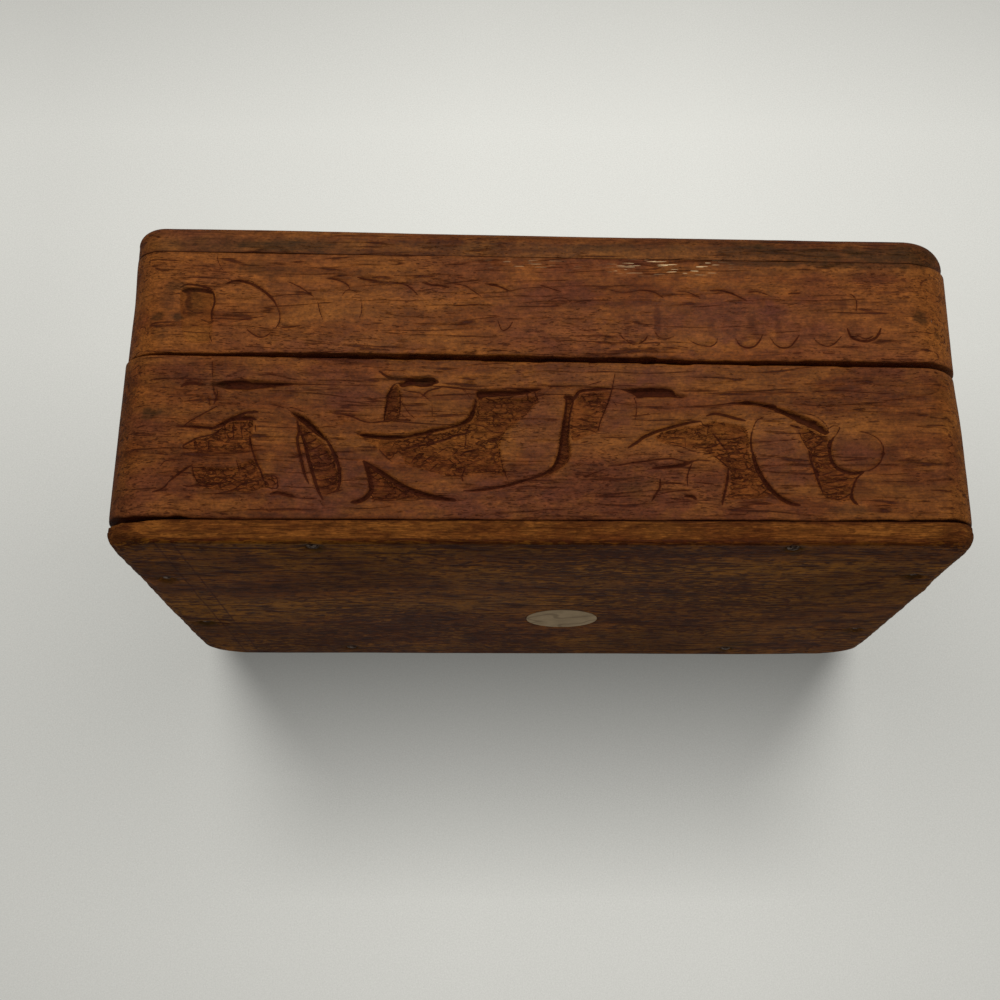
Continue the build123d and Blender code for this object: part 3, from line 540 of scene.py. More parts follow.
# The gouge and the scroll at the left of the lid.
LID_SCROLL: list[Stroke] = [
    Ground(((-87.4, 64.8), (-85.2, 65.2), (-82, 65), (-79.5, 64.3), (-79.1, 61.3), (-79.4, 58.6), (-79.1, 55.1),
        (-79.1, 52.2), (-79.7, 50.6), (-82.6, 50.3), (-85.1, 50.8), (-86.3, 53.8), (-86.8, 57),
        (-87.3, 60.7)), 0.6, 0.8, (0.3, 0.5), 0.08),
    Cut(((-87.2, 64.4), (-85.5, 64.8), (-83.2, 64.8), (-81.3, 64.6), (-79.5, 64)), 1, 1),
    *cuts(0.7, 0.7, ((-87.7, 65.2), (-86.1, 66.2), (-83.9, 66), (-81.8, 65.6), (-79.6, 64.7)), ((-79.5, 64.3),
        (-79, 61.4), (-79.5, 58.6), (-79.2, 56.4))),
    Cut(((-76.4, 66.4), (-74.4, 67.2), (-72, 67), (-69.2, 65.8), (-66.4, 63.8), (-64.6, 61.8),
        (-63.8, 60.4)), 0.85, 0.8),
    Cut(((-63.9, 60.8), (-62.9, 58.2), (-62.9, 56), (-63.8, 54.1)), 0.5, 0.45),
    Cut(((-64.9, 53), (-66.3, 52.1), (-67.8, 52.1), (-69.4, 53), (-70.8, 54.3)), 0.55, 0.5),
    Cut(((-62.7, 54.6), (-60.2, 54.7), (-57.8, 55)), 0.6, 0.5),
    *cuts(0.48, 0.42, ((-85.5, 59.6), (-83.4, 58.6), (-81.6, 58.8)), ((-82.3, 57), (-80.2, 56.2), (-78.9, 55.8)),
        ((-86, 53.5), (-82.9, 53.3), (-79.4, 53.2)), ((-84.8, 55.5), (-82.4, 55.1)), ((-79.7, 52.8),
        (-78.8, 50.7)), ((-86.4, 61.6), (-83.9, 61)), ((-53.8, 61.5), (-53.2, 58.9), (-52.3, 56.6)),
        ((-21.1, 60.5), (-14.2, 60.9)), ((-10.1, 56.8), (-8.9, 54), (-7.3, 54.7), (-6.3, 56.4))),
    *cuts(0.4, 0.28, ((-79.3, 74.2), (-78.7, 72), (-77.2, 69.6)), ((-74.6, 55.9), (-71.2, 56.7), (-65.9, 57.7)),
        ((-42.8, 55.6), (-37.3, 55.8)), ((-48, 63.1), (-47.1, 64.5), (-45.8, 64.7), (-44, 63.7)), ((-43.3, 62.3),
        (-43, 59.3), (-43.6, 56.7)), ((87.3, 58), (91, 58), (95.1, 57.8), (97, 57.7)), ((33.1, 49.9),
        (36, 49.3)), ((16.9, 65), (20.8, 64.2), (24.9, 64.9)), ((2.2, 61.9), (4.4, 62.7), (6.7, 62.5),
        (8.2, 61.1)), ((60.6, 48), (62.8, 48.1)), ((68, 48.1), (70.9, 48.1)), ((-52.6, 48), (-45, 48.6))),
]

# The overlapping scales of the lid's band.
SCALES: list[Stroke] = [
    *cuts(0.55, 0.5, ((-61.5, 67.1), (-59.9, 66.3), (-58.2, 65.4), (-56.4, 64.1), (-54.8, 62.7)), ((-52, 68),
        (-49.5, 67.5), (-47.1, 66.4), (-46, 64.8)), ((-36.6, 67.1), (-34.1, 66.6), (-32.1, 65.9), (-30.4, 64.4),
        (-29.1, 62.8)), ((-21.1, 66.5), (-18.1, 65.9), (-16.1, 64.6), (-14, 62.9)), ((0.3, 66.1), (3, 65.3),
        (5.5, 64.3)), ((24.4, 64.9), (26.6, 64.8), (28.6, 64.1), (30.4, 62.7)), ((33.5, 64.5), (35.8, 64.5),
        (37.5, 63.8), (39.4, 62.6)), ((50.7, 64.3), (53.5, 64.5), (56.3, 63.4)), ((60.8, 64), (64.2, 64.2))),
    *cuts(0.65, 0.6, ((-44.5, 68.2), (-42.5, 67.7), (-40.8, 67.4), (-38.9, 67.2)), ((-28.7, 66.8), (-26.4, 66.2),
        (-23.8, 65.9), (-21.9, 65.4)), ((-13.2, 66.5), (-10.1, 65.9), (-8.4, 65.2), (-6.9, 64.3)), ((41.7, 64.7),
        (44, 64.9), (46.4, 64.3), (48.3, 63.4), (50.6, 62))),
    *cuts(0.5, 0.42, ((19.4, 53.2), (20.4, 51.8), (22.4, 50.4), (23.5, 50.2)), ((23.9, 50.3), (25.5, 51.5),
        (26.2, 52.7)), ((27.9, 53.8), (28.9, 52.2), (30.6, 51.9), (32.4, 52.3)), ((35.8, 51.7), (37.9, 50.4),
        (39.6, 50), (41.2, 49.8), (42.6, 50.8), (42.9, 52)), ((65.9, 52.6), (66.9, 51), (68.8, 50), (70.5, 50.3),
        (71.9, 51.5), (72.8, 52.6)), ((74.6, 64.1), (76.3, 63.7), (77.2, 61.8), (76.9, 59.3)), ((76.3, 53),
        (78.7, 52), (80.6, 52.8))),
    *cuts(0.58, 0.52, ((47.2, 52), (48.3, 50.2), (50, 49.5), (51.7, 49.9), (53.1, 51.4), (53.9, 53)),
        ((55.6, 52.4), (56.7, 50.5), (58.5, 49.4), (60.4, 49.9), (61.9, 51.7), (62.7, 52.9))),
    Cut(((74.4, 54.6), (75.1, 52.7), (76.3, 51.8), (78.7, 51.3), (80.7, 52), (81.8, 53.1),
        (82.5, 54.7)), 0.8, 0.75),
    *cuts(0.85, 0.18, ((31.1, 59), (31.5, 55.4), (31.2, 52.5)), ((56.7, 57.9), (55.5, 55.2), (55.7, 52.6)),
        ((62.9, 57.4), (63.5, 55), (62.6, 52.9)), ((22.3, 57.1), (22.7, 55.8), (23.7, 54.8)), ((45.8, 57.4),
        (44.6, 54.7), (46.7, 52.3)), ((4.9, 52.6), (5.9, 50.3), (7.6, 49.8), (10.4, 51.5))),
]
LID_CARVING: list[Stroke] = [*LID_SCROLL, *SCALES]


@dataclass
class Relief:
    """What carving does to a face, at each point of its grid.

    The line and the ground are distances: 0.5 on the border, more inside it and less
    outside, so that a shader can draw the border finer than the grid.
    """

    depth: np.ndarray
    line: np.ndarray
    ground: np.ndarray


def carve(strokes: Sequence[Stroke], x: np.ndarray, z: np.ndarray) -> Relief:
    """Sinks the strokes into a face.

    Args:
        strokes: the cuts and the grounds.
        x: each grid point's place along the length.
        z: each grid point's height.

    Returns:
        How deep the face lies, and how far each point is inside a dark line or a ground.
    """
    cut, floor = np.zeros_like(x), np.zeros_like(x)
    line, ground = np.full_like(x, -EDGE_REACH), np.full_like(x, -EDGE_REACH)
    for stroke in strokes:
        points = np.array(stroke.points)
        low, high = points.min(0) - stroke.reach(), points.max(0) + stroke.reach()
        near = (x > low[0]) & (x < high[0]) & (z > low[1]) & (z < high[1])
        if not near.any():
            continue
        sunk, within = stroke.sink(np.column_stack([x[near], z[near]]))
        if isinstance(stroke, Cut):
            cut[near] = np.maximum(cut[near], sunk)
            line[near] = np.maximum(line[near], within)
            continue
        floor[near] = np.maximum(floor[near], sunk)
        # Grounds deeper than SHADED_DEPTH are drawn as a ragged dark line over their whole floor: painted shade in the
        # deep hollow.
        if stroke.depth > SHADED_DEPTH:
            ragged = 1.6 * CHIPS(x[near] * 0.45, z[near] * 1.3) + 0.8 * CHIPS_FINE(x[near] * 0.5, z[near])
            ragged = ragged * stroke.rough
            line[near] = np.maximum(line[near], within - 0.12 + ragged)
        else:
            ground[near] = np.maximum(ground[near], within)
    depth = np.maximum(cut, floor) + 0.5 * np.minimum(cut, floor)
    border = [np.clip(0.5 + part / (2 * EDGE_REACH), 0, 1) for part in (line, ground)]
    return Relief(softened(depth), *border)



# --------------------------------------------------------------------------- boards
@dataclass
class Marks:
    """What a board's surface carries apart from its form, from 0 to 1 at each point: grime and wear, and also painted
    shade, painted glints and a painted sheen.
    """

    cavity: np.ndarray
    wear: np.ndarray
    smudge_and_shade: np.ndarray
    line: np.ndarray | float = 0.0
    ground: np.ndarray | float = 0.0
    gleam: np.ndarray | float = 0.0
    purple_sheen: np.ndarray | float = 0.0

    def flat(self, name: str, count: int) -> np.ndarray:
        """Returns one of the marks as a plain list of values."""
        return np.broadcast_to(np.ravel(getattr(self, name)), (count,)).astype(float)


@dataclass
class Board:
    """One board as a dense outer face, edges in strips and a flat inner face.

    The outer face is a height over a grid: u runs along the board, v across it, and the
    height counts outwards. The strips run from the edge of the outer face down to the
    inner face.
    """

    name: str
    node: str
    body: str
    slot: str
    lines_u: np.ndarray
    lines_t: np.ndarray
    span_v: Callable[[np.ndarray], tuple[np.ndarray, np.ndarray]]
    outer: Field
    inner: Field
    place: Callable[[np.ndarray, np.ndarray, np.ndarray], np.ndarray]
    marks: Callable[[np.ndarray, np.ndarray, np.ndarray], Marks]
    plan: Callable[[np.ndarray, np.ndarray], tuple[np.ndarray, np.ndarray]] | None = None
    strips: int = 1
    strip_wear: Field | None = None
    strip_marks: Callable[[np.ndarray, np.ndarray, np.ndarray], Marks] | None = None

    def build(self, material: bpy.types.Material) -> bpy.types.Object:
        """Makes the board's mesh and hangs it on its body.

        Args:
            material: the finish of the whole board.

        Returns:
            The finished object.
        """
        u, t = np.meshgrid(self.lines_u, self.lines_t, indexing="ij")
        low, high = self.span_v(u)
        v = low + (high - low) * t
        if self.plan:
            u, v = self.plan(u, v)
        w = np.maximum(self.outer(u, v), self.inner(u, v) + 0.03)
        marks = self.marks(u, v, w)
        nu, nv = u.shape
        index = np.arange(nu * nv).reshape(nu, nv)
        quads = [np.stack([index[:-1, :-1], index[1:, :-1], index[1:, 1:], index[:-1, 1:]], -1).reshape(-1, 4)]
        loop = np.concatenate([index[:, 0], index[-1, 1:], index[-2::-1, -1], index[0, -2:0:-1]])
        edge_u, edge_v, edge_w = u.ravel()[loop], v.ravel()[loop], w.ravel()[loop]
        points = [self.place(u.ravel(), v.ravel(), w.ravel())]
        values = {name: [marks.flat(name, u.size)] for name in MARK_NAMES}
        ahead = np.stack([np.roll(edge_u, -1) - np.roll(edge_u, 1), np.roll(edge_v, -1) - np.roll(edge_v, 1)], -1)
        ahead /= np.maximum(np.linalg.norm(ahead, axis=1, keepdims=True), 1e-9)
        last = loop
        for ring in range(1, self.strips + 1):
            share = ring / self.strips
            ring_w = edge_w + (self.inner(edge_u, edge_v) - edge_w) * share
            ring_u, ring_v = edge_u, edge_v
            if self.strip_wear:
                dent = self.strip_wear(edge_u + edge_v, ring_w)
                ring_u, ring_v = edge_u - ahead[:, 1] * dent, edge_v + ahead[:, 0] * dent
            points.append(self.place(ring_u, ring_v, ring_w))
            worn = self.strip_marks(ring_u, ring_v, ring_w) if self.strip_marks else None
            for name in MARK_NAMES:
                values[name].append(worn.flat(name, len(loop)) if worn else np.zeros(len(loop)))
            this = nu * nv + (ring - 1) * len(loop) + np.arange(len(loop))
            quads.append(np.stack([last, this, np.roll(this, -1), np.roll(last, -1)], -1))
            last = this
        mesh = bpy.data.meshes.new(self.name)
        mesh.from_pydata((np.vstack(points) * MM).tolist(), [], np.vstack(quads).tolist() + [last[::-1].tolist()])
        for name in MARK_NAMES:
            layer = mesh.attributes.new(name, "FLOAT", "POINT")
            layer.data.foreach_set("value", np.concatenate(values[name]))
        work = bmesh.new()
        work.from_mesh(mesh)
        bmesh.ops.triangulate(work, faces=[f for f in work.faces if len(f.verts) > 4])
        bmesh.ops.recalc_face_normals(work, faces=work.faces)
        work.to_mesh(mesh)
        work.free()
        mesh.shade_smooth()
        mesh.set_sharp_from_angle(angle=math.radians(40))
        return hang(self.name, mesh, self.body, self.slot, material, (self.node,))


MARK_NAMES = ("cavity", "wear", "smudge_and_shade", "line", "ground", "gleam", "purple_sheen")


def level(height: float) -> Field:
    """Returns a flat inner face at one height."""
    return lambda u, v: np.full_like(u, height)


def hang(name: str, mesh: bpy.types.Mesh, body: str, slot: str, material: bpy.types.Material,
         nodes: Sequence[str] = ()) -> bpy.types.Object:
    """Links a finished mesh as a piece of the box.

    Args:
        name: the piece's name.
        mesh: its mesh, in metres and in place.
        body: the body that it moves with.
        slot: not used.
        material: its finish.
        nodes: the solids that it stands for.

    Returns:
        The object.
    """
    mesh.materials.clear()
    mesh.materials.append(material)
    piece = bpy.data.objects.new(name, mesh)
    bpy.context.scene.collection.objects.link(piece)
    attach(piece, body)
    if nodes:
        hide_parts(*nodes)
    LOG.info("%s: %d faces on %s", name, len(mesh.polygons), body)
    return piece


def round_lines(start: float, end: float, step: float, start_radius: float, end_radius: float,
                turns: int = 9) -> np.ndarray:
    """Grid lines between two edges, closer together over their roundings.

    Args:
        start: the first edge.
        end: the last edge.
        step: spacing over the flat.
        start_radius: rounding at the first edge.
        end_radius: rounding at the last edge.
        turns: lines over each rounding.

    Returns:
        The places of the lines.
    """
    angles = np.linspace(0, np.pi / 2, turns)
    head = start + start_radius * (1 - np.cos(angles))
    tail = end - end_radius * (1 - np.cos(angles))
    count = max(2, int(round((tail[-1] - head[-1]) / step)))
    return np.concatenate([head[:-1], np.linspace(head[-1], tail[-1], count + 1), tail[-2::-1]])


def rounding(away: np.ndarray, radius: np.ndarray | float, deep: np.ndarray | float | None = None) -> np.ndarray:
    """Returns how far a rounded edge drops.

    Args:
        away: distance from the edge.
        radius: how far in the rounding reaches.
        deep: how far it drops at the edge itself, if that isn't the same.
    """
    share = np.clip(away / radius, 0, 1)
    return (radius if deep is None else deep) * (1 - np.sqrt(np.maximum(1 - (1 - share) ** 2, 0)))


def creases(height: np.ndarray, cells: int, scale: float) -> tuple[np.ndarray, np.ndarray]:
    """Finds the hollows, darkened with grime and with painted shade, and the crests, where hands rub.

    Args:
        height: the face's height over its grid.
        cells: how wide a neighbourhood each point is set against.
        scale: the difference in height that counts as full.

    Returns:
        The hollows and the crests, each from 0 to 1.
    """
    relief = height - blurred(height, cells)
    return np.clip(-relief / scale, 0, 1), np.clip(relief / scale, 0, 1)


@dataclass(frozen=True)
class Spot:
    """A soft patch on a face, in millimetres: a stain in most lists, painted shade in SCALE_SHADES and a painted sheen
    in the two sheen lists.
    """

    u: float
    v: float
    radius_u: float
    radius_v: float
    strength: float = 1.0

    def shade(self, u: np.ndarray, v: np.ndarray) -> np.ndarray:
        """Returns the patch at each point, from 0 to 1."""
        ragged = 1 + 0.35 * SPOT_EDGE(u, v)
        away = np.hypot((u - self.u) / self.radius_u, (v - self.v) / self.radius_v) * ragged
        return self.strength * (1 - smoothstep((away - 0.55) / 0.6))


SPOT_EDGE = RandomField(21, 1.6, 1.1)
WAVER = RandomField(31, 26.0, 14.0)
DENTS = RandomField(32, 5.5, 3.5)
FIBRE = RandomField(33, 4.5, 0.7)
CHIPPED = RandomField(34, 3.2, 1.0)
CRACK_WANDER = RandomField(35, 9.0, 5.0)


def hand_worn(u: np.ndarray, v: np.ndarray, amount: float = 1.0) -> np.ndarray:
    """Returns the slight unevenness of a hand-planed, handled face."""
    return amount * (0.10 * WAVER(u, v) + 0.05 * DENTS(u, v) + 0.02 * FIBRE(u, v))


def tilted(origin_z: float, shift: float = 0.0) -> Callable[[np.ndarray, np.ndarray, np.ndarray], np.ndarray]:
    """Places local points of the lid, which lies along the saw cut.

    Args:
        origin_z: how far the local origin lies above the body's rim.
        shift: how far the lid sits to the right.

    Returns:
        A function from local x, y and height to points of the row.
    """
    cos, sin = math.cos(SIZES.tilt), math.sin(SIZES.tilt)

    def to_row(x: np.ndarray, y: np.ndarray, height: np.ndarray) -> np.ndarray:
        """Returns the points in the row's frame."""
        a, c = x + shift, height + origin_z
        return np.column_stack([a * cos + c * sin, y, SIZES.body_height - a * sin + c * cos])

    return to_row


LID_PLACE = tilted(SIZES.rim_gap, SIZES.lid_shift)


def body_rim(x: np.ndarray) -> np.ndarray:
    """Returns the height of the body's sawn rim above the underside at x."""
    return SIZES.body_height - math.tan(SIZES.tilt) * x


def stop_bevel(below_axis: np.ndarray, x: np.ndarray) -> np.ndarray:
    """The cut at the back of a rim: the stop bevel and the room for the barrels.

    Args:
        below_axis: distance from the hinge axis, across the rim.
        x: place along the length.

    Returns:
        How far the back face is cut in.
    """
    bevel = np.clip(SIZES.axis_inset - below_axis / math.tan(math.radians(SIZES.bevel_angle)), 0, None)
    at_hinge = np.minimum(abs(x - SIZES.hinge_offset), abs(x + SIZES.hinge_offset)) < SIZES.hinge_length / 2
    notch = SIZES.axis_inset + np.sqrt(np.maximum(SIZES.barrel_room**2 - below_axis**2, 0))
    open_notch = at_hinge & (below_axis < SIZES.barrel_room * math.sin(math.radians(SIZES.bevel_angle)))
    return np.where(open_notch, np.maximum(bevel, notch), bevel)


class Finish(Enum):
    """Which wood a board is cut from."""

    CARVED = "carved"
    LID = "lid"
    BACK = "back"
    END = "end"
    TOP = "top"
    BOTTOM = "bottom"


# ------------------------------------------------------------------------ materials
class Graph:
    """A short hand for building a shader tree."""

    def __init__(self, name: str) -> None:
        """Starts a material with a Principled shader."""
        self.material = bpy.data.materials.new(name)
        self.material.use_nodes = True
        self.tree = self.material.node_tree
        self.shader = self.tree.nodes["Principled BSDF"]
        self.output = self.tree.nodes["Material Output"]

    def add(self, kind: str, **settings: object) -> bpy.types.Node:
        """Adds a node and sets its properties."""
        node = self.tree.nodes.new(kind)
        for key, value in settings.items():
            setattr(node, key, value)
        return node

    def feed(self, socket: Socket, value: object) -> None:
        """Links or sets one input."""
        if isinstance(value, Socket):
            self.tree.links.new(value, socket)
        else:
            socket.default_value = value

    def millimetres(self, turn: float = 0.0, offset: Sequence[float] = (0, 0, 0)) -> Socket:
        """Object coordinates in millimetres.

        Args:
            turn: rotation about Z in degrees, which lays the grain.
            offset: shift that gives each board its own figure.

        Returns:
            The vector socket.
        """
        coordinates = self.add("ShaderNodeTexCoord")
        mapping = self.add("ShaderNodeMapping")
        self.feed(mapping.inputs["Vector"], coordinates.outputs["Object"])
        mapping.inputs["Scale"].default_value = (1000, 1000, 1000)
        mapping.inputs["Rotation"].default_value = (0, 0, math.radians(turn))
        mapping.inputs["Location"].default_value = tuple(offset)
        return mapping.outputs["Vector"]

    def scaled(self, vector: Socket, scale: Sequence[float]) -> Socket:
        """Returns a vector multiplied part by part."""
        node = self.add("ShaderNodeVectorMath", operation="MULTIPLY")
        self.feed(node.inputs[0], vector)
        node.inputs[1].default_value = tuple(scale)
        return node.outputs[0]

    def noise(self, vector: Socket, scale: Sequence[float], detail: float = 2.0,
              rough: float = 0.5, distortion: float = 0.0) -> Socket:
        """Returns a noise value over a stretched vector."""
        node = self.add("ShaderNodeTexNoise")
        self.feed(node.inputs["Vector"], self.scaled(vector, scale))
        node.inputs["Scale"].default_value = 1.0
        node.inputs["Detail"].default_value = detail
        node.inputs["Roughness"].default_value = rough
        node.inputs["Distortion"].default_value = distortion
        return node.outputs["Fac"]

    def cracks(self, vector: Socket, scale: Sequence[float], width: float,
               detail: float = 2.0) -> Socket:
        """Returns thin wandering lines, 1 on a line and 0 off it."""
        away = self.math("ABSOLUTE", self.math("SUBTRACT", self.noise(vector, scale, detail, 0.55), 0.5))
        return self.span(away, width * 0.4, width, 1.0, 0.0)

    def splits(self, vector: Socket, scale: Sequence[float], width: float) -> Socket:
        """Returns the lines between small blocks, as dry wood or a hatched ground breaks up."""
        node = self.add("ShaderNodeTexVoronoi", feature="DISTANCE_TO_EDGE")
        self.feed(node.inputs["Vector"], self.scaled(vector, scale))
        node.inputs["Scale"].default_value = 1.0
        return self.span(node.outputs["Distance"], width * 0.4, width, 1.0, 0.0)

    def swayed(self, vector: Socket, scale: Sequence[float],
               amount: Sequence[float]) -> Socket:
        """Returns a vector that wanders by an amount, over features of a scale."""
        sway = self.add("ShaderNodeTexNoise")
        self.feed(sway.inputs["Vector"], self.scaled(vector, scale))
        sway.inputs["Scale"].default_value = 1.0
        lift = self.add("ShaderNodeVectorMath", operation="MULTIPLY_ADD")
        self.feed(lift.inputs[0], sway.outputs["Color"])
        lift.inputs[1].default_value = tuple(amount)
        self.feed(lift.inputs[2], vector)
        return lift.outputs[0]

    def span(self, value: Socket, low: float, high: float, to_low: float = 0.0,
             to_high: float = 1.0, eased: bool = False) -> Socket:
        """Returns a value stretched from one range to another, clamped and perhaps eased."""
        node = self.add("ShaderNodeMapRange", interpolation_type="SMOOTHSTEP" if eased else "LINEAR")
        self.feed(node.inputs["Value"], value)
        for key, number in (("From Min", low), ("From Max", high), ("To Min", to_low), ("To Max", to_high)):
            node.inputs[key].default_value = number
        return node.outputs["Result"]

    def math(self, operation: str, a: object, b: object = 0.0) -> Socket:
        """Returns a sum, product or other operation of two values."""
        node = self.add("ShaderNodeMath", operation=operation)
        self.feed(node.inputs[0], a)
        self.feed(node.inputs[1], b)
        return node.outputs[0]

    def mix(self, factor: object, a: object, b: object, blend: str = "MIX") -> Socket:
        """Returns a blend of two colours."""
        node = self.add("ShaderNodeMix", data_type="RGBA", blend_type=blend)
        self.feed(node.inputs[0], factor)
        self.feed(node.inputs[6], self.colour(a))
        self.feed(node.inputs[7], self.colour(b))
        return node.outputs[2]

    @staticmethod
    def colour(value: object) -> object:
        """Returns a colour with its alpha, or the socket that it came as."""
        return value if isinstance(value, Socket) else (*value, 1.0)

    def mark(self, name: str) -> Socket:
        """Returns one of the values that a board carries at its points."""
        return self.add("ShaderNodeAttribute", attribute_name=name).outputs["Fac"]

    def bump(self, height: Socket, strength: float, distance: float) -> None:
        """Roughens the shader's normal by a height, over a distance in metres."""
        node = self.add("ShaderNodeBump")
        node.inputs["Strength"].default_value = strength
        node.inputs["Distance"].default_value = distance
        self.feed(node.inputs["Height"], height)
        self.feed(self.shader.inputs["Normal"], node.outputs["Normal"])

    def set(self, **inputs: object) -> None:
        """Feeds the shader's inputs, named with underscores for spaces."""
        for key, value in inputs.items():
            socket = self.shader.inputs[key.replace("_", " ")]
            if isinstance(value, tuple) and len(value) == 3 and socket.type == "RGBA":
                value = (*value, 1.0)
            self.feed(socket, value)


@dataclass(frozen=True)
class Wood:
    """Dark reddish hardwood with short open pores, oiled and handled for years."""

    name: str
    grain: Grain = Grain.ALONG_X
    dark: Colour = (0.072, 0.0172, 0.0032)
    warm: Colour = (0.168, 0.0450, 0.0085)
    golden: Colour = (0.230, 0.0770, 0.0130)
    plum: Colour = (0.112, 0.0310, 0.0150)
    fresh: Colour = (0.162, 0.0420, 0.0085)
    worn: Colour = (0.255, 0.0920, 0.0170)
    cut: Colour = (0.037, 0.0062, 0.0018)
    # The next colour darkens stains and painted shade; the one after is for painted glints.
    smudge_and_shade: Colour = (0.045, 0.0178, 0.0042)
    gleam: Colour = (0.80, 0.60, 0.32)
    tone: Colour = (1.0, 1.0, 1.0)
    rough: float = 0.55
    seed: float = 0.0
    stretch: tuple[float, float, float] = (1.0, 1.0, 1.0)
    scribes: tuple[float, ...] = ()
    pores: float = 0.0
    inked: float = 0.80
    hatched: bool = False

    def make(self) -> bpy.types.Material:
        """Returns the material."""
        g = Graph(self.name)
        turn = 0.0 if self.grain is Grain.ALONG_X else 90.0
        place = g.millimetres(turn, (self.seed * 37.0, self.seed * 11.0, self.seed * 5.0))
        place = g.scaled(place, self.stretch) if self.stretch != (1.0, 1.0, 1.0) else place
        along = g.swayed(place, (0.012, 0.03, 0.03), (0, 8, 8))
        streak = g.noise(along, (0.018, 0.34, 0.34), 5, 0.6)
        band = g.noise(along, (0.007, 0.10, 0.10), 3, 0.5)
        fibre = g.noise(along, (0.16, 2.8, 2.8), 3, 0.65)
        thread = g.noise(along, (0.08, 1.1, 1.1), 4, 0.65)
        blotch = g.noise(place, (0.024, 0.050, 0.050), 3, 0.55)
        cloud = g.noise(place, (0.10, 0.17, 0.17), 4, 0.6)
        grit = g.noise(place, (1.1, 1.7, 1.7), 3, 0.7)
        pore = self.open_pores(g, along, place)
        hair = g.math("MULTIPLY", g.cracks(along, (0.020, 0.24, 0.24), 0.022), g.span(thread, 0.46, 0.58))
        ground = self.edge(g, "ground", grit, 0.10, 0.03)
        frayed = g.math("ADD", g.math("MULTIPLY", grit, 0.5), g.math("MULTIPLY", fibre, 0.5))
        line = self.edge(g, "line", frayed, 0.26, 0.03)
        colour = g.mix(g.span(streak, 0.38, 0.62), self.dark, self.warm)
        colour = g.mix(g.span(band, 0.44, 0.62, 0.0, 0.85), colour, self.golden)
        colour = g.mix(g.span(blotch, 0.48, 0.62, 0.0, 0.55), colour, self.plum)
        colour = g.mix(g.span(cloud, 0.46, 0.68, 0.0, 0.62), colour, self.golden)
        # Painted sheen: purplish patches over the flats.
        purple_sheen = g.math("MULTIPLY", g.mark("purple_sheen"), g.span(cloud, 0.60, 0.32, 0.35, 1.0))
        colour = g.mix(purple_sheen, colour, self.plum)
        colour = g.mix(g.math("MULTIPLY", ground, g.span(cloud, 0.36, 0.64, 0.10, 0.75)), colour, self.fresh)
        colour = g.mix(g.span(thread, 0.52, 0.68, 0.0, 0.66), colour, self.dark)
        colour = g.mix(g.span(fibre, 0.50, 0.76, 0.0, 0.62), colour, self.cut)
        wear = g.math("MULTIPLY", g.mark("wear"), g.span(cloud, 0.30, 0.60, 0.35, 1.0))
        colour = g.mix(wear, colour, self.worn)
        ink = g.span(ground, 0.0, 1.0, self.inked, 0.5 * self.inked)
        colour = g.mix(g.math("MULTIPLY", g.math("MAXIMUM", pore, hair), ink), colour, self.cut)
        if self.hatched:
            spill = g.math("MULTIPLY", g.span(g.mark("ground"), 0.05, 0.5, 0.0, 0.8), g.span(thread, 0.45, 0.6))
            chips = g.math("MULTIPLY", self.broken(g, place), g.math("MAXIMUM", ground, spill))
            torn = g.span(g.noise(place, (0.7, 1.5, 1.5), 2, 0.6), 0.54, 0.66, 0.0, 0.45)
            splinters = g.math("MULTIPLY", torn, ground)
            colour = g.mix(splinters, colour, self.golden)
            colour = g.mix(g.math("MULTIPLY", chips, 0.85), colour, self.cut)
        for x in self.scribes:
            colour = g.mix(self.scribed(g, x, cloud, grit), colour, self.cut)
        mottle = g.span(g.noise(place, (0.30, 0.60, 0.60), 3, 0.6), 0.36, 0.64)
        colour = g.mix(1.0, colour, g.mix(mottle, (0.80, 0.78, 0.76), (1.22, 1.22, 1.22)), "MULTIPLY")
        # Painted shade with grime: hollows, joints, cut lines and deep grounds are darkened towards the cut colour.
        cavity = g.mark("cavity")
        sunk = g.math("MAXIMUM", g.math("MULTIPLY", cavity, 0.85), g.math("MULTIPLY", line, 0.90))
        colour = g.mix(sunk, colour, self.cut)
        # Stains, and painted shade on the rounded left ends of the carved fronts, in the stain colour.
        smudge_and_shade = g.math("MULTIPLY", g.mark("smudge_and_shade"), g.span(g.math("ADD", cloud, fibre), 0.75, 1.15, 0.45, 1.0))
        colour = g.mix(smudge_and_shade, colour, self.smudge_and_shade)
        shade = g.mix(g.span(grit, 0.30, 0.70), (0.66, 0.66, 0.66), (1.34, 1.34, 1.34))
        colour = g.mix(1.0, colour, shade, "MULTIPLY")
        # Painted glints: bright dashes where the gleam mark is set.
        dashes = g.span(g.noise(along, (0.20, 4.4, 4.4), 0.0, 0.5), 0.70, 0.72)
        colour = g.mix(g.math("MULTIPLY", g.mark("gleam"), dashes), colour, self.gleam)
        if self.tone != (1.0, 1.0, 1.0):
            colour = g.mix(g.math("SUBTRACT", 1.0, ground), colour, g.mix(1.0, colour, self.tone, "MULTIPLY"))
        shine = g.span(g.math("ADD", blotch, g.math("MULTIPLY", grit, 0.6)), 0.5, 1.1, self.rough - 0.07,
                       self.rough + 0.13)
        shine = g.math("ADD", shine, g.math("MULTIPLY", g.math("MAXIMUM", line, ground), 0.22))
        g.set(Base_Color=colour, Roughness=shine, Specular_IOR_Level=0.07)
        pitted = g.math("ADD", pore, g.math("MULTIPLY", fibre, 0.5))
        relief = g.math("SUBTRACT", g.math("MULTIPLY", thread, -0.5), pitted)
        relief = g.math("ADD", relief, g.math("MULTIPLY", grit, 0.45))
        relief = g.math("SUBTRACT", relief, g.math("MULTIPLY", hair, 0.8))
        if self.hatched:
            relief = g.math("SUBTRACT", relief, g.math("MULTIPLY", chips, 2.0))
        g.bump(relief, 0.75, 0.00022)
        return g.material

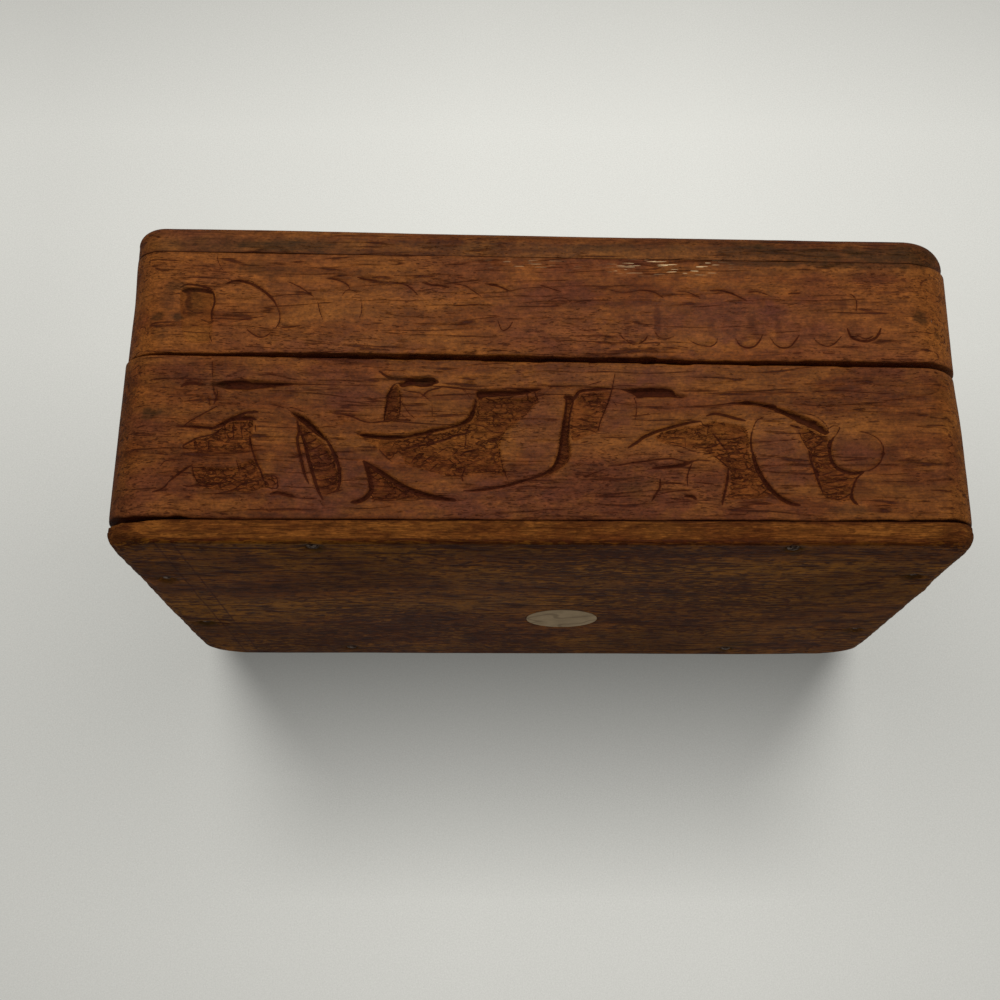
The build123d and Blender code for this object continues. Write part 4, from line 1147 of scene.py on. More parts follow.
    @staticmethod
    def scribed(g: Graph, x: float, cloud: Socket, grit: Socket) -> Socket:
        """Returns a line scribed across the board at one place along its length."""
        split = g.add("ShaderNodeSeparateXYZ")
        g.feed(split.inputs[0], g.millimetres())
        strayed = g.math("ADD", g.math("SUBTRACT", split.outputs[0], x), g.span(cloud, 0, 1, -0.7, 0.7))
        away = g.math("ABSOLUTE", strayed)
        faint = g.math("MULTIPLY", g.span(grit, 0.35, 0.6, 0.3, 1.0), g.span(split.outputs[2], 1.0, 0.6))
        return g.math("MULTIPLY", g.span(away, 0.10, 0.36, 0.85, 0.0), faint)

    @staticmethod
    def edge(g: Graph, mark: str, ragged: Socket, wander: float,
             soft: float) -> Socket:
        """Returns a crisp, ragged area from a mark that holds the distance to its border."""
        away = g.math("ADD", g.mark(mark), g.math("MULTIPLY", g.math("SUBTRACT", ragged, 0.5), wander))
        return g.span(away, 0.5 - soft, 0.5 + soft)

    def open_pores(self, g: Graph, along: Socket, place: Socket) -> Socket:
        """Returns the open pores: short dashes along the fibres, in flocks."""
        crowd = g.noise(place, (0.030, 0.06, 0.06), 3, 0.6)
        limit = g.span(crowd, 0.38, 0.62, 0.74 + self.pores, 0.60 + self.pores)
        fine = g.span(g.math("SUBTRACT", g.noise(along, (0.60, 3.4, 3.4), 1.5, 0.5), limit), 0.0, 0.05)
        broad = g.span(g.noise(along, (0.16, 1.8, 1.8), 1.5, 0.5), 0.70 + self.pores, 0.75 + self.pores)
        return g.math("MAXIMUM", g.math("MULTIPLY", fine, 0.85), g.math("MULTIPLY", broad, 0.75))

    @staticmethod
    def broken(g: Graph, place: Socket) -> Socket:
        """Returns the tool marks and splits left in the cut-away ground."""
        bent = g.swayed(place, (0.7, 0.7, 0.7), (1.4, 0.9, 0.9))
        blocks = g.splits(bent, (0.40, 0.95, 0.95), 0.11)
        level_splits = g.cracks(bent, (0.16, 1.1, 1.1), 0.045, 2.0)
        patch = g.span(g.noise(place, (0.20, 0.30, 0.30), 2, 0.5), 0.40, 0.56)
        other = g.span(g.noise(place, (0.15, 0.36, 0.36), 2, 0.5), 0.56, 0.42)
        gaps = g.span(g.noise(place, (0.9, 0.9, 0.9), 2, 0.6), 0.40, 0.50)
        blocks = g.math("MULTIPLY", g.math("MULTIPLY", blocks, patch), gaps)
        return g.math("MAXIMUM", blocks, g.math("MULTIPLY", level_splits, other))


@dataclass(frozen=True)
class Brass:
    """Sheet brass gone dull brown, rubbed bright on its edges."""

    name: str
    bright: Colour = (0.60, 0.42, 0.16)
    tarnish: Colour = (0.20, 0.12, 0.05)
    rough: float = 0.38

    def make(self) -> bpy.types.Material:
        """Returns the material."""
        g = Graph(self.name)
        place = g.millimetres()
        cloud = g.noise(place, (0.22, 0.35, 0.35), 5, 0.65)
        scratch = g.noise(place, (0.5, 9.0, 9.0), 2, 0.6)
        patch = g.span(cloud, 0.38, 0.62)
        colour = g.mix(patch, self.bright, self.tarnish)
        colour = g.mix(g.span(scratch, 0.55, 0.8, 0.0, 0.35), colour, self.bright)
        g.set(Base_Color=colour, Metallic=1.0)
        g.set(Roughness=g.span(g.math("ADD", patch, g.math("MULTIPLY", scratch, 0.5)), 0.2, 1.4, self.rough - 0.08,
                               self.rough + 0.26))
        g.bump(g.math("ADD", scratch, cloud), 0.25, 0.00006)
        return g.material


@dataclass(frozen=True)
class NailSteel:
    """Hammered steel, brown with rust and worn grey on the crown."""

    name: str
    steel: Colour = (0.270, 0.195, 0.145)
    rust: Colour = (0.032, 0.015, 0.009)
    low: float = 0.46
    high: float = 0.66

    def make(self) -> bpy.types.Material:
        """Returns the material."""
        g = Graph(self.name)
        place = g.millimetres()
        patch = g.span(g.noise(place, (0.9, 0.9, 0.9), 4, 0.6), self.low, self.high, 1.0, 0.0)
        fine = g.noise(place, (4.0, 4.0, 4.0), 3, 0.6)
        colour = g.mix(patch, self.steel, self.rust)
        g.set(Base_Color=colour, Metallic=g.span(patch, 0.0, 1.0, 0.2, 0.0), Specular_IOR_Level=0.14)
        g.set(Roughness=g.span(patch, 0.0, 1.0, 0.45, 0.80))
        g.bump(fine, 0.5, 0.00008)
        return g.material


@dataclass(frozen=True)
class LabelPaper:
    """Cream gummed paper, soiled by handling and creased once across."""

    name: str
    paper: Colour = (0.50, 0.360, 0.210)
    soil: Colour = (0.24, 0.165, 0.09)

    def make(self) -> bpy.types.Material:
        """Returns the material."""
        g = Graph(self.name)
        place = g.millimetres()
        stain = g.noise(place, (0.16, 0.16, 0.16), 5, 0.6)
        fibre = g.noise(place, (3.0, 3.0, 3.0), 4, 0.7)
        crease = g.math("MULTIPLY", g.cracks(place, (0.05, 0.07, 0.05), 0.018, 1.0), 0.7)
        colour = g.mix(g.span(stain, 0.42, 0.72, 0.0, 0.6), self.paper, self.soil)
        colour = g.mix(g.span(fibre, 0.45, 0.8, 0.0, 0.25), colour, self.soil)
        colour = g.mix(crease, colour, self.soil)
        g.set(Base_Color=colour, Roughness=0.88, Specular_IOR_Level=0.2)
        g.bump(g.math("SUBTRACT", fibre, crease), 0.3, 0.00005)
        return g.material


# ---------------------------------------------------------------------- the box body
FINE = 0.30
MEDIUM = 0.8
COARSE = 1.2

BODY_SPOTS = [
    Spot(-92.2, 32.0, 2.6, 1.5), Spot(-92.4, 32.0, 1.7, 1.0), Spot(-89.2, 31.6, 2.6, 1.6, 0.45), Spot(92.6, 30.8, 1.7, 1.7, 0.35),
    Spot(22.0, 14.6, 5.0, 2.6, 0.45), Spot(-34.5, 41.4, 3.6, 1.1, 0.4), Spot(-28.0, 41.0, 2.6, 1.4, 0.5),
    Spot(72.0, 8.6, 6.0, 1.2, 0.4), Spot(-78.0, 39.2, 4.0, 1.2, 0.4),
]
LID_SPOTS = [
    Spot(-92.6, 57.4, 1.8, 1.6, 0.85), Spot(-87.6, 57.2, 1.5, 1.3, 0.85), Spot(-90.4, 61.6, 1.9, 3.0, 0.45),
    Spot(-91.6, 53.0, 2.2, 2.6, 0.35), Spot(-88.6, 65.6, 3.2, 1.2, 0.6), Spot(-67.0, 70.6, 7.0, 2.6, 0.45),
    Spot(-64.0, 66.2, 3.4, 1.2, 0.30), Spot(92.3, 57.8, 2.0, 1.9, 0.85), Spot(96.4, 53.4, 0.8, 1.0, 0.6),
    Spot(58.0, 72.6, 16.0, 1.5, 0.85), Spot(82.0, 71.8, 16.0, 1.2, 0.85), Spot(-84.0, 60.6, 2.0, 5.0, 0.5),
]
# Purplish patches of painted sheen on the flats of the body and of the lid.
BODY_SHEEN = [
    Spot(-50, 15, 14, 9), Spot(-47, 37, 12, 5, 0.8), Spot(-12, 11, 18, 6, 0.9), Spot(12, 42, 16, 3, 0.8),
    Spot(0, 28, 6, 10, 0.8), Spot(32, 42, 12, 2.6, 0.9), Spot(18, 33, 4, 5, 0.8), Spot(56, 21, 7, 10, 0.7),
    Spot(73.5, 23, 6, 5, 0.7), Spot(-66, 41, 20, 3.5, 0.5), Spot(27, 15, 8, 5, 0.5), Spot(80, 38, 10, 3, 0.4),
]
LID_SHEEN = [
    Spot(-48, 49.5, 20, 3.4), Spot(-29, 64, 8, 3, 0.7), Spot(-4, 58, 9, 8, 0.7), Spot(8, 57, 9, 9, 0.8),
    Spot(28, 56, 12, 7, 0.7), Spot(46, 57, 16, 8), Spot(63, 56, 8, 7, 0.6), Spot(-62, 64, 10, 3, 0.5),
]
SCALE_SHADES = [
    Spot(51.6, 55.0, 1.4, 3.4, 0.58), Spot(57.8, 54.6, 1.0, 3.2, 0.42), Spot(28.6, 56.4, 0.9, 4.6, 0.61),
    Spot(41.6, 55.0, 1.0, 3.0, 0.42), Spot(21.2, 56.0, 1.0, 2.4, 0.42), Spot(66.5, 55.5, 0.9, 3.0, 0.34),
    Spot(73.8, 61.0, 1.4, 2.4, 0.51), Spot(-85.4, 62.0, 0.9, 3.0, 0.77),
]
TOP_EDGE_SPOTS = [
    Spot(-62.0, 76.8, 16.0, 2.0, 0.95), Spot(-80.0, 77.2, 14.0, 2.4, 0.5), Spot(52.0, 75.6, 9.0, 2.4, 0.8),
    Spot(68.0, 74.6, 9.0, 2.0, 0.95), Spot(84.0, 74.6, 12.0, 2.2, 0.9),
    Spot(94.0, 74.4, 7.0, 3.4, 0.8), Spot(20.0, 76.6, 16.0, 1.2, 0.5), Spot(-20.0, 76.4, 12.0, 0.8, 0.4),
]


def spotted(spots: Sequence[Spot], u: np.ndarray, v: np.ndarray) -> np.ndarray:
    """Returns the patches laid over each other."""
    clear = np.ones_like(u)
    for spot in spots:
        clear = clear * (1 - np.clip(spot.shade(u, v), 0, 1))
    return 1 - clear


def dip(u: np.ndarray, v: np.ndarray, at: Point, radius: float, depth: float) -> np.ndarray:
    """Returns a shallow round hollow, as filler leaves over a punched nail."""
    return depth * np.exp(-(((u - at[0]) ** 2 + (v - at[1]) ** 2) / radius**2) ** 2)


def strip_dents(along: np.ndarray, height: np.ndarray) -> np.ndarray:
    """Returns how far the narrow edge of a board is worn in."""
    return 0.10 + 0.10 * WAVER(along, height * 4) + 0.07 * DENTS(along * 0.6, height * 2.2)


@dataclass
class Carcass:
    """The body: four upright boards round a nailed bottom board."""

    sizes: BoxSizes = SIZES
    rim_round: float = 0.3
    joint_round: float = 0.35
    corner_nail_height: float = 31.5
    corner_nail_x: float = 93.0
    nail_room: float = 1.8
    nail_hole: float = 0.55
    nails: list[Point] = field(default_factory=lambda: [
        (-52.5, -55.4), (58.5, -55.4), (-55.0, 50.8), (59.5, 50.8), (-93.0, -26.5), (-93.0, 20.0), (93.0, -32.0),
        (93.0, 25.5)])

    def build(self, woods: dict[Finish, bpy.types.Material]) -> None:
        """Builds the five boards of the body.

        Args:
            woods: the finish of each kind of board.
        """
        self.front().build(woods[Finish.CARVED])
        self.back().build(woods[Finish.BACK])
        for side in (-1, 1):
            self.end(side).build(woods[Finish.END])
        self.bottom().build(woods[Finish.BOTTOM])

    def front_span(self, u: np.ndarray) -> tuple[np.ndarray, np.ndarray]:
        """Returns the edges of the front board, whose lower one has shrunk away from the bottom."""
        crack = 0.22 + 0.70 * smoothstep((-u - 70) / 20) + 0.35 * smoothstep((u - 62) / 30)
        wander = 0.12 * CRACK_WANDER(u, u * 0) + 0.38 * CHIPPED(u, u * 0) * smoothstep((abs(u) - 66) / 20)
        return self.sizes.bottom_thickness + np.clip(crack + wander, 0.12, None), body_rim(u)

    def back_span(self, u: np.ndarray) -> tuple[np.ndarray, np.ndarray]:
        """Returns the edges of the back board."""
        return np.full_like(u, self.sizes.bottom_thickness), body_rim(u)

    def front(self) -> Board:
        """Returns the carved front board."""
        s = self.sizes
        deepest = s.front_thickness - 0.4

        def corner(u: np.ndarray, v: np.ndarray) -> np.ndarray:
            """Returns the corner radius, which grows towards the rim."""
            up = v / s.body_height
            right = s.front_corner_radius - 0.8 + 1.9 * smoothstep((up - 0.62) / 0.38)
            return np.where(u < 0, s.front_corner_radius - 0.2 + 0.9 * up, right)

        def outer(u: np.ndarray, v: np.ndarray) -> np.ndarray:
            """Returns the height of the carved face."""
            low, high = self.front_span(u)
            radius = corner(u, v)
            drop = rounding(s.half_length - abs(u), radius, np.minimum(radius, deepest))
            drop = drop + rounding(high - v, self.rim_round) + rounding(v - low, self.joint_round)
            split = np.clip((-u - 74) / 22, 0, 1) + 0.5 * np.clip((u - 74) / 22, 0, 1)
            ragged = 1 + 0.6 * CRACK_WANDER(u, v) + 0.5 * CHIPPED(u, v)
            drop = drop + 0.8 * split * ragged * np.exp(-np.clip(v - low, 0, None) / 0.6)
            chip = np.clip(CHIPPED(u, v * 0.2) - 0.25, 0, 1) * np.exp(-(high - v) / 0.8)
            for side in (-1, 1):
                drop = drop + dip(u, v, (side * self.corner_nail_x + 0.6, self.corner_nail_height), 1.7, 0.25)
            return s.half_depth - 0.12 - drop - 0.7 * chip - hand_worn(u, v) - carve(BODY_CARVING, u, v).depth

        def marks(u: np.ndarray, v: np.ndarray, w: np.ndarray) -> Marks:
            """Returns the carved face's grime and painted shade in hollows, carving and the foot joint, its wear, its
            stains with painted shade on the left end, its dark lines and grounds, and its painted sheen.
            """
            relief = carve(BODY_CARVING, u, v)
            hollow, crest = creases(w, 4, 0.55)
            low, high = self.front_span(u)
            right_edge = np.exp(-np.clip(s.half_length - 2 - u, 0, 12) / 3.5) * 0.45
            # Painted shade: the rounded left end is darkened.
            left_edge_shade = smoothstep((-u - 94) / 5) * 0.30
            joint = np.exp(-(v - low) / 0.30)
            # Painted shade with grime: hollows, the open joint at the foot and the deeper carving are darkened.
            cavity = np.clip(0.50 * hollow + 0.7 * joint + 0.38 * smoothstep((relief.depth - 0.5) / 0.4), 0, 1)
            smudge_and_shade = np.clip(spotted(BODY_SPOTS, u, v) + left_edge_shade, 0, 1)
            return Marks(cavity, np.clip(0.12 * crest + right_edge, 0, 1), smudge_and_shade, relief.line, relief.ground,
                         0.0, spotted(BODY_SHEEN, u, v))

        return Board("carved_body_front", "body_front_board", "body", "wood",
                     round_lines(-s.half_length, s.half_length, FINE, 10.0, 10.0, 24),
                     round_lines(0, 1, FINE / 40, 0.018, 0.012, 5), self.front_span, outer,
                     level(s.half_depth - s.front_thickness), lambda a, b, c: np.column_stack([a, -c, b]), marks)

    def back(self) -> Board:
        """Returns the back board with its stop bevel and the room for the hinges."""
        s = self.sizes
        r = s.back_corner_radius

        def outer(u: np.ndarray, v: np.ndarray) -> np.ndarray:
            """Returns the height of the back face."""
            low, high = self.back_span(u)
            drop = rounding(s.half_length - abs(u), r) + rounding(v - low, self.joint_round)
            for side in (-1, 1):
                drop = drop + dip(u, v, (side * self.corner_nail_x, self.corner_nail_height), 1.7, 0.25)
            below_axis = (high - v) * math.cos(s.tilt) + s.rim_gap / 2
            return s.half_depth - 0.12 - np.maximum(drop + hand_worn(u, v, 0.7), stop_bevel(below_axis, u))

        def marks(u: np.ndarray, v: np.ndarray, w: np.ndarray) -> Marks:
            """Returns the grime and painted shade in the back's hollows and along its foot, its wear and its stains."""
            hollow, crest = creases(w, 2, 0.45)
            low, _ = self.back_span(u)
            edge = np.exp(-np.minimum(s.half_length - abs(u), 9) / 4.0) * 0.35
            spots = [Spot(-93, 31.5, 2.2, 1.8, 0.9), Spot(93, 31.5, 2.0, 1.7, 0.8)]
            # Painted shade with grime: the hollows and the foot of the board are darkened.
            return Marks(np.clip(0.6 * hollow + 0.7 * np.exp(-(v - low) / 0.4), 0, 1),
                         np.clip(0.3 * crest + edge, 0, 1), spotted(spots, u, v))

        across = np.unique(np.concatenate([
            round_lines(-s.half_length, s.half_length, COARSE, r, r),
            [side * s.hinge_offset + end * s.hinge_length / 2 + nudge for side in (-1, 1) for end in (-1, 1)
             for nudge in (-0.02, 0.02)]]))
        up = np.unique(np.concatenate([round_lines(0, 0.93, COARSE / 40, 0.012, 0.001, 4),
                                       np.linspace(0.93, 1, 16)]))
        return Board("back_of_body", "body_back_board", "body", "wood", across, up, self.back_span, outer,
                     level(s.half_depth - s.back_thickness), lambda a, b, c: np.column_stack([a, c, b]), marks)

    def end(self, side: int) -> Board:
        """Returns one end board: side is -1 on the left and 1 on the right."""
        s = self.sizes
        front, back = -s.half_depth + s.front_thickness, s.half_depth - s.back_thickness
        rim = float(body_rim(np.array(side * s.half_length)))
        inner_rim = float(body_rim(np.array(side * (s.half_length - s.end_thickness))))

        def span(u: np.ndarray) -> tuple[np.ndarray, np.ndarray]:
            """Returns the lower and upper edge of the end board."""
            return np.full_like(u, s.bottom_thickness), np.full_like(u, rim)

        def outer(u: np.ndarray, v: np.ndarray) -> np.ndarray:
            """Returns the height of the end's face."""
            edge = np.minimum(u - front, back - u)
            drop = rounding(edge, self.joint_round) + rounding(rim - v, self.rim_round)
            drop = drop + rounding(v - s.bottom_thickness, self.joint_round) + hand_worn(u + 40 * side, v)
            return s.half_length - 0.12 - drop

        def marks(u: np.ndarray, v: np.ndarray, w: np.ndarray) -> Marks:
            """Returns the grime and painted shade in the end's hollows and along its joints, and its wear."""
            hollow, crest = creases(w, 2, 0.4)
            edge = np.minimum(np.minimum(u - front, back - u), v - s.bottom_thickness)
            # Painted shade with grime: the hollows and the joints at its edges are darkened.
            return Marks(np.clip(0.6 * hollow + 0.7 * np.exp(-edge / 0.35), 0, 1), 0.3 * crest, np.zeros_like(u))

        def place(a: np.ndarray, b: np.ndarray, c: np.ndarray) -> np.ndarray:
            """Returns the row points, the rim leaning with the saw cut through the thickness."""
            lean = (inner_rim - rim) * (s.half_length - c) / s.end_thickness
            share = (b - s.bottom_thickness) / (rim - s.bottom_thickness)
            return np.column_stack([side * c, a, b + lean * share])

        return Board(("left" if side < 0 else "right") + "_end_of_body",
                     "body_left_end" if side < 0 else "body_right_end", "body", "end_wood",
                     round_lines(front, back, COARSE, self.joint_round, self.joint_round, 4),
                     round_lines(0, 1, COARSE / 40, 0.009, 0.018, 4), span, outer,
                     level(s.half_length - s.end_thickness), place, marks)

    def bottom(self) -> Board:
        """Returns the bottom board, seen from below, with its nails and label let in."""
        s = self.sizes
        outline = RoundedPlan(s.half_length, s.half_depth, s.front_corner_radius - 0.2, s.front_corner_radius - 0.8,
                              s.back_corner_radius + 1.0)

        def arris(u: np.ndarray, v: np.ndarray) -> np.ndarray:
            """Returns how far the underside rises at its worn edges, most of all at the ends."""
            ragged = 1.0 + 0.18 * CHIPPED(u, v)
            left, right = smoothstep((-u - 88) / 10), smoothstep((u - 88) / 10)
            behind = smoothstep((v - 40) / 18) * smoothstep((u - 66) / 26)
            reach = 0.9 + (4.0 + 0.8 * DENTS(v * 0.5, u * 0)) * left
            reach = reach + (2.9 + 0.8 * DENTS(v * 0.5 + 90, u * 0)) * right + 1.6 * behind
            return rounding(outline.from_edge(u, v), reach, np.minimum(reach, 4.6) * 0.9 * ragged)

        def outer(u: np.ndarray, v: np.ndarray) -> np.ndarray:
            """Returns the height of the underside."""
            drop = arris(u, v) + 0.6 * hand_worn(u, v)
            for at in self.nails:
                near = np.hypot(u - at[0], v - at[1])
                drop = np.where(near < self.nail_room, np.maximum(drop, self.nail_hole), drop)
                drop = drop + 0.16 * np.exp(-(((near - 2.3) / 0.9) ** 2))
            seat = np.hypot(u - s.label_x, v - s.label_y) < s.label_radius + 0.15
            gouge = carve(UNDERSIDE_CUTS, u, v).depth
            return -0.06 - np.where(seat, np.maximum(drop, 0.2), drop + gouge)

        def marks(u: np.ndarray, v: np.ndarray, w: np.ndarray) -> Marks:
            """Returns the grime and painted shade in the underside's hollows, a painted dark line along its front
            arris, and its wear and stains.
            """
            hollow, crest = creases(w, 2, 0.45)
            away = outline.from_edge(u, v)
            ragged = np.clip(0.75 + 0.8 * CHIPPED(u, v * 0.3), 0, 1)
            inner_part = 1 - smoothstep((np.abs(u) - 84) / 9)
            # Painted shade: a dark ragged line along the front arris of the underside.
            edge = np.exp(-np.clip(away, 0, None) / 0.7) * ragged * (v < 0) * inner_part
            spots = [Spot(x, y, 3.1, 4.0, 0.9) for x, y in self.nails]
            spots += [Spot(62, 44, 5, 6, 0.5), Spot(18, 44, 4, 2, 0.35), Spot(30, 38, 24, 9, 0.15)]
            cavity = np.clip(0.4 * hollow + 0.9 * edge, 0, 1)
            lower_edge = smoothstep((-w - 0.7) / 0.8) * (v < -45)
            return Marks(cavity, np.clip(0.2 * crest, 0, 1), spotted(spots, u, v), carve(UNDERSIDE_CUTS, u, v).line,
                         lower_edge)

        def strip_marks(u: np.ndarray, v: np.ndarray, w: np.ndarray) -> Marks:
            """Returns the painted shade and grime along the board's narrow edge, at its joint and its lower arris, and
            its wear.
            """
            up = -w
            low = 0.9 + 0.35 * CHIPPED(u, u * 0)
            # Painted shade with grime: dark bands where the edge meets the front board and along its lower arris.
            shade_and_grime = np.exp(-np.clip(s.bottom_thickness - up, 0, None) / 0.25) * 0.8 + np.exp(-(up - low) / 0.35) * 0.8
            front = (v < 0).astype(float)
            return Marks(np.clip(shade_and_grime, 0, 1), 0.1 + 0.1 * WAVER(u, up * 6), 0.25 * np.clip(WAVER(u + 50, up * 4), 0, 1),
                         0.0, front)

        def inner(u: np.ndarray, v: np.ndarray) -> np.ndarray:
            """Returns the upper face, broken away a little at the front left corner."""
            broken = smoothstep((-u - 86) / 8) * smoothstep((-v - 30) / 15)
            return -s.bottom_thickness + 0.7 * broken * (1 + 0.4 * CHIPPED(u, v))

        def span(u: np.ndarray) -> tuple[np.ndarray, np.ndarray]:
            """Returns the front and back edge of the board."""
            return np.full_like(u, -s.half_depth), np.full_like(u, s.half_depth)

        across = round_lines(-s.half_length, s.half_length, MEDIUM, s.bottom_end_radius, s.bottom_end_radius)
        deep = round_lines(0, 1, MEDIUM / s.depth, 1.2 / s.depth, 1.2 / s.depth, 5)
        return Board("underside_board", "bottom_board", "body", "bottom_wood", across, deep, span, outer, inner,
                     lambda a, b, c: np.column_stack([a, b, -c]), marks, outline.bend, 10, strip_dents, strip_marks)


@dataclass(frozen=True)
class RoundedPlan:
    """The outline of the box from above, and a grid bent to fit it."""

    half_x: float
    half_y: float
    front_left: float
    front_right: float
    back: float

    def radius(self, u: np.ndarray, v: np.ndarray) -> np.ndarray:
        """Returns the corner radius that a point answers to."""
        return np.where(v > 0, self.back, np.where(u < 0, self.front_left, self.front_right))

    def bend(self, u: np.ndarray, v: np.ndarray) -> tuple[np.ndarray, np.ndarray]:
        """Pulls the square corners of a grid in to the rounded ones.

        Args:
            u: places along the length.
            v: places along the depth.

        Returns:
            The bent places.
        """
        r = self.radius(u, v)
        a = np.clip((abs(u) - (self.half_x - r)) / r, 0, 1)
        b = np.clip((abs(v) - (self.half_y - r)) / r, 0, 1)
        corner = (a > 0) & (b > 0)
        bent_a, bent_b = a * np.sqrt(1 - b * b / 2), b * np.sqrt(1 - a * a / 2)
        new_u = np.sign(u) * (self.half_x - r + r * bent_a)
        new_v = np.sign(v) * (self.half_y - r + r * bent_b)
        return np.where(corner, new_u, u), np.where(corner, new_v, v)

    def from_edge(self, u: np.ndarray, v: np.ndarray) -> np.ndarray:
        """Returns how far inside the outline each point lies."""
        r = self.radius(u, v)
        qx, qy = abs(u) - (self.half_x - r), abs(v) - (self.half_y - r)
        outside = np.hypot(np.maximum(qx, 0), np.maximum(qy, 0)) + np.minimum(np.maximum(qx, qy), 0)
        return r - outside


UNDERSIDE_CUTS: list[Stroke] = [
    Cut(((-99, -28), (-94, -27.6), (-90, -26.4)), 1.4, 0.5),
    Cut(((-98, 19), (-92, 19.2), (-86, 20.4)), 1.6, 0.6),
    Cut(((88, -33), (93, -31.6), (97, -32)), 1.4, 0.6),
    Cut(((80, 25.2), (88, 24.6), (94, 25.6)), 1.2, 0.5),
    *cuts(0.9, 0.3, ((86, -49), (92, -47.6), (95, -47)), ((70, -47), (78, -46.2), (85, -45.6)), ((-88, -56),
        (-80, -55.4), (-72, -56.2))),
    Cut(((-15, -45), (-6, -45.2), (2, -44.8)), 0.9, 0.2),
]


# ------------------------------------------------------------------------- the lid
@dataclass
class Lid:
    """The lid: four low boards under a thick top board, all along the saw cut."""

    sizes: BoxSizes = SIZES
    rim_round: float = 0.35
    joint_round: float = 0.35
    worn_corner: float = 13.3
    nail_height: float = 11.0

    @property
    def wall(self) -> float:
        """Height of the lid's upright boards."""
        return self.sizes.lid_height - self.sizes.top_thickness

    def build(self, woods: dict[Finish, bpy.types.Material]) -> None:
        """Builds the five boards of the lid.

        Args:
            woods: the finish of each kind of board.
        """
        self.front().build(woods[Finish.LID])
        self.back().build(woods[Finish.BACK])
        for side in (-1, 1):
            self.end(side).build(woods[Finish.END])
        self.top().build(woods[Finish.TOP])

    def wall_span(self, u: np.ndarray) -> tuple[np.ndarray, np.ndarray]:
        """Returns the lower and upper edge of an upright board of the lid."""
        return np.zeros_like(u), np.full_like(u, self.wall)

    def front_span(self, u: np.ndarray) -> tuple[np.ndarray, np.ndarray]:
        """Returns the edges of the front board, which has warped down at its left end."""
        warp = 0.95 * smoothstep((-u - 46) / 46) + 0.10 * CRACK_WANDER(u, u * 0) + 0.10 * CHIPPED(u, u * 0 + 7)
        warp = warp + 0.42 * smoothstep((u - 27) / 1.4) * (1 - smoothstep((u - 45) / 30))
        return -np.clip(warp, -0.2, 1.05), np.full_like(u, self.wall)

    @staticmethod
    def in_row(u: np.ndarray, v: np.ndarray) -> tuple[np.ndarray, np.ndarray]:
        """Returns the row's x and z of local points of the lid."""
        row = LID_PLACE(u.ravel(), np.zeros(u.size), v.ravel())
        return row[:, 0].reshape(u.shape), row[:, 2].reshape(u.shape)

    def front(self) -> Board:
        """Returns the front board with its band of scales."""
        s = self.sizes
        deepest = s.front_thickness - 0.4

        def outer(u: np.ndarray, v: np.ndarray) -> np.ndarray:
            """Returns the height of the lid's front."""
            x, z = self.in_row(u, v)
            low, _ = self.front_span(u)
            left = s.lid_front_corner_radius - 0.2
            up = np.clip(v / self.wall, 0, 1)
            radius = np.where(u < 0, left - 2.0 * smoothstep(2 * up - 1), left + (self.worn_corner - left) * up)
            drop = rounding(s.half_length - abs(u), radius, np.minimum(radius, deepest))
            drop = drop + rounding(v - low, self.rim_round) + rounding(self.wall - v, self.joint_round)
            chip = np.clip(CHIPPED(u + 90, v * 0.2) - 0.2, 0, 1) * np.exp(-(v - low) / 0.9)
            for at in ((-92.6, 57.4), (-87.6, 57.2), (92.6, 57.9)):
                drop = drop + dip(x, z, at, 1.5, 0.22)
            return s.half_depth - 0.12 - drop - 0.8 * chip - hand_worn(u + 17, v + 50) - carve(LID_CARVING, x, z).depth

        def marks(u: np.ndarray, v: np.ndarray, w: np.ndarray) -> Marks:
            """Returns the lid front's grime and painted shade in hollows, scale cuts and the joint under the top board,
            its wear, its stains with painted shade on the left end, its dark lines and grounds, its painted glints and
            its painted sheen.
            """
            x, z = self.in_row(u, v)
            relief = carve(LID_CARVING, x, z)
            hollow, crest = creases(w, 4, 0.55)
            right_edge = np.exp(-np.clip(s.half_length - 3 - u, 0, 12) / 4.0) * 0.75
            # Painted shade: the rounded left end is darkened.
            left_edge_shade = smoothstep((-u - 95) / 5) * 0.25
            joint = np.exp(-(self.wall - v) / 0.35) * (1 - 0.8 * np.exp(-(((u - 15) / 30) ** 2)))
            # Painted glints: two bands of bright dashes near the top of the front.
            gleam = np.exp(-((x - 32) / 12) ** 4) * np.exp(-((z - 71.3) / 2.0) ** 4) + 0.6 * np.exp(
                -((x + 3) / 9) ** 2) * np.exp(-((z - 71.6) / 1.2) ** 2)
            # Painted shade with grime: hollows, the joint under the top board and the soft shading of the scale cuts
            # are darkened.
            cavity = np.clip(0.40 * hollow + 0.85 * joint + spotted(SCALE_SHADES, x, z), 0, 1)
            smudge_and_shade = np.clip(spotted(LID_SPOTS, x, z) + left_edge_shade, 0, 1)
            rubbed = 0.35 * np.exp(-(((x + 35) / 30) ** 2)) + 0.12 * crest + right_edge
            stripe = (z - 55.5 - 0.09 * (x + 77)) / 2.4
            rubbed = rubbed + 0.45 * np.exp(-stripe**2) * smoothstep((x + 80) / 10) * smoothstep((-x - 34) / 16)
            rubbed = rubbed + 0.5 * np.exp(-(((z - 70.5) / 1.8) ** 2)) * smoothstep((x - 10) / 25)
            floor = np.clip(2.2 * relief.ground - 1, 0, 1)
            return Marks(cavity, np.clip(rubbed + 0.55 * floor * smoothstep((60 - z) / 8), 0, 1), smudge_and_shade, relief.line,
                         relief.ground, gleam, spotted(LID_SHEEN, x, z))

        return Board("carved_lid_front", "lid_front_board", "lid", "wood",
                     round_lines(-s.half_length, s.half_length, FINE, 12.0, 12.0, 28),
                     round_lines(0, 1, FINE / self.wall, 0.03, 0.014, 5), self.front_span, outer,
                     level(s.half_depth - s.front_thickness), lambda a, b, c: LID_PLACE(a, -c, b), marks)

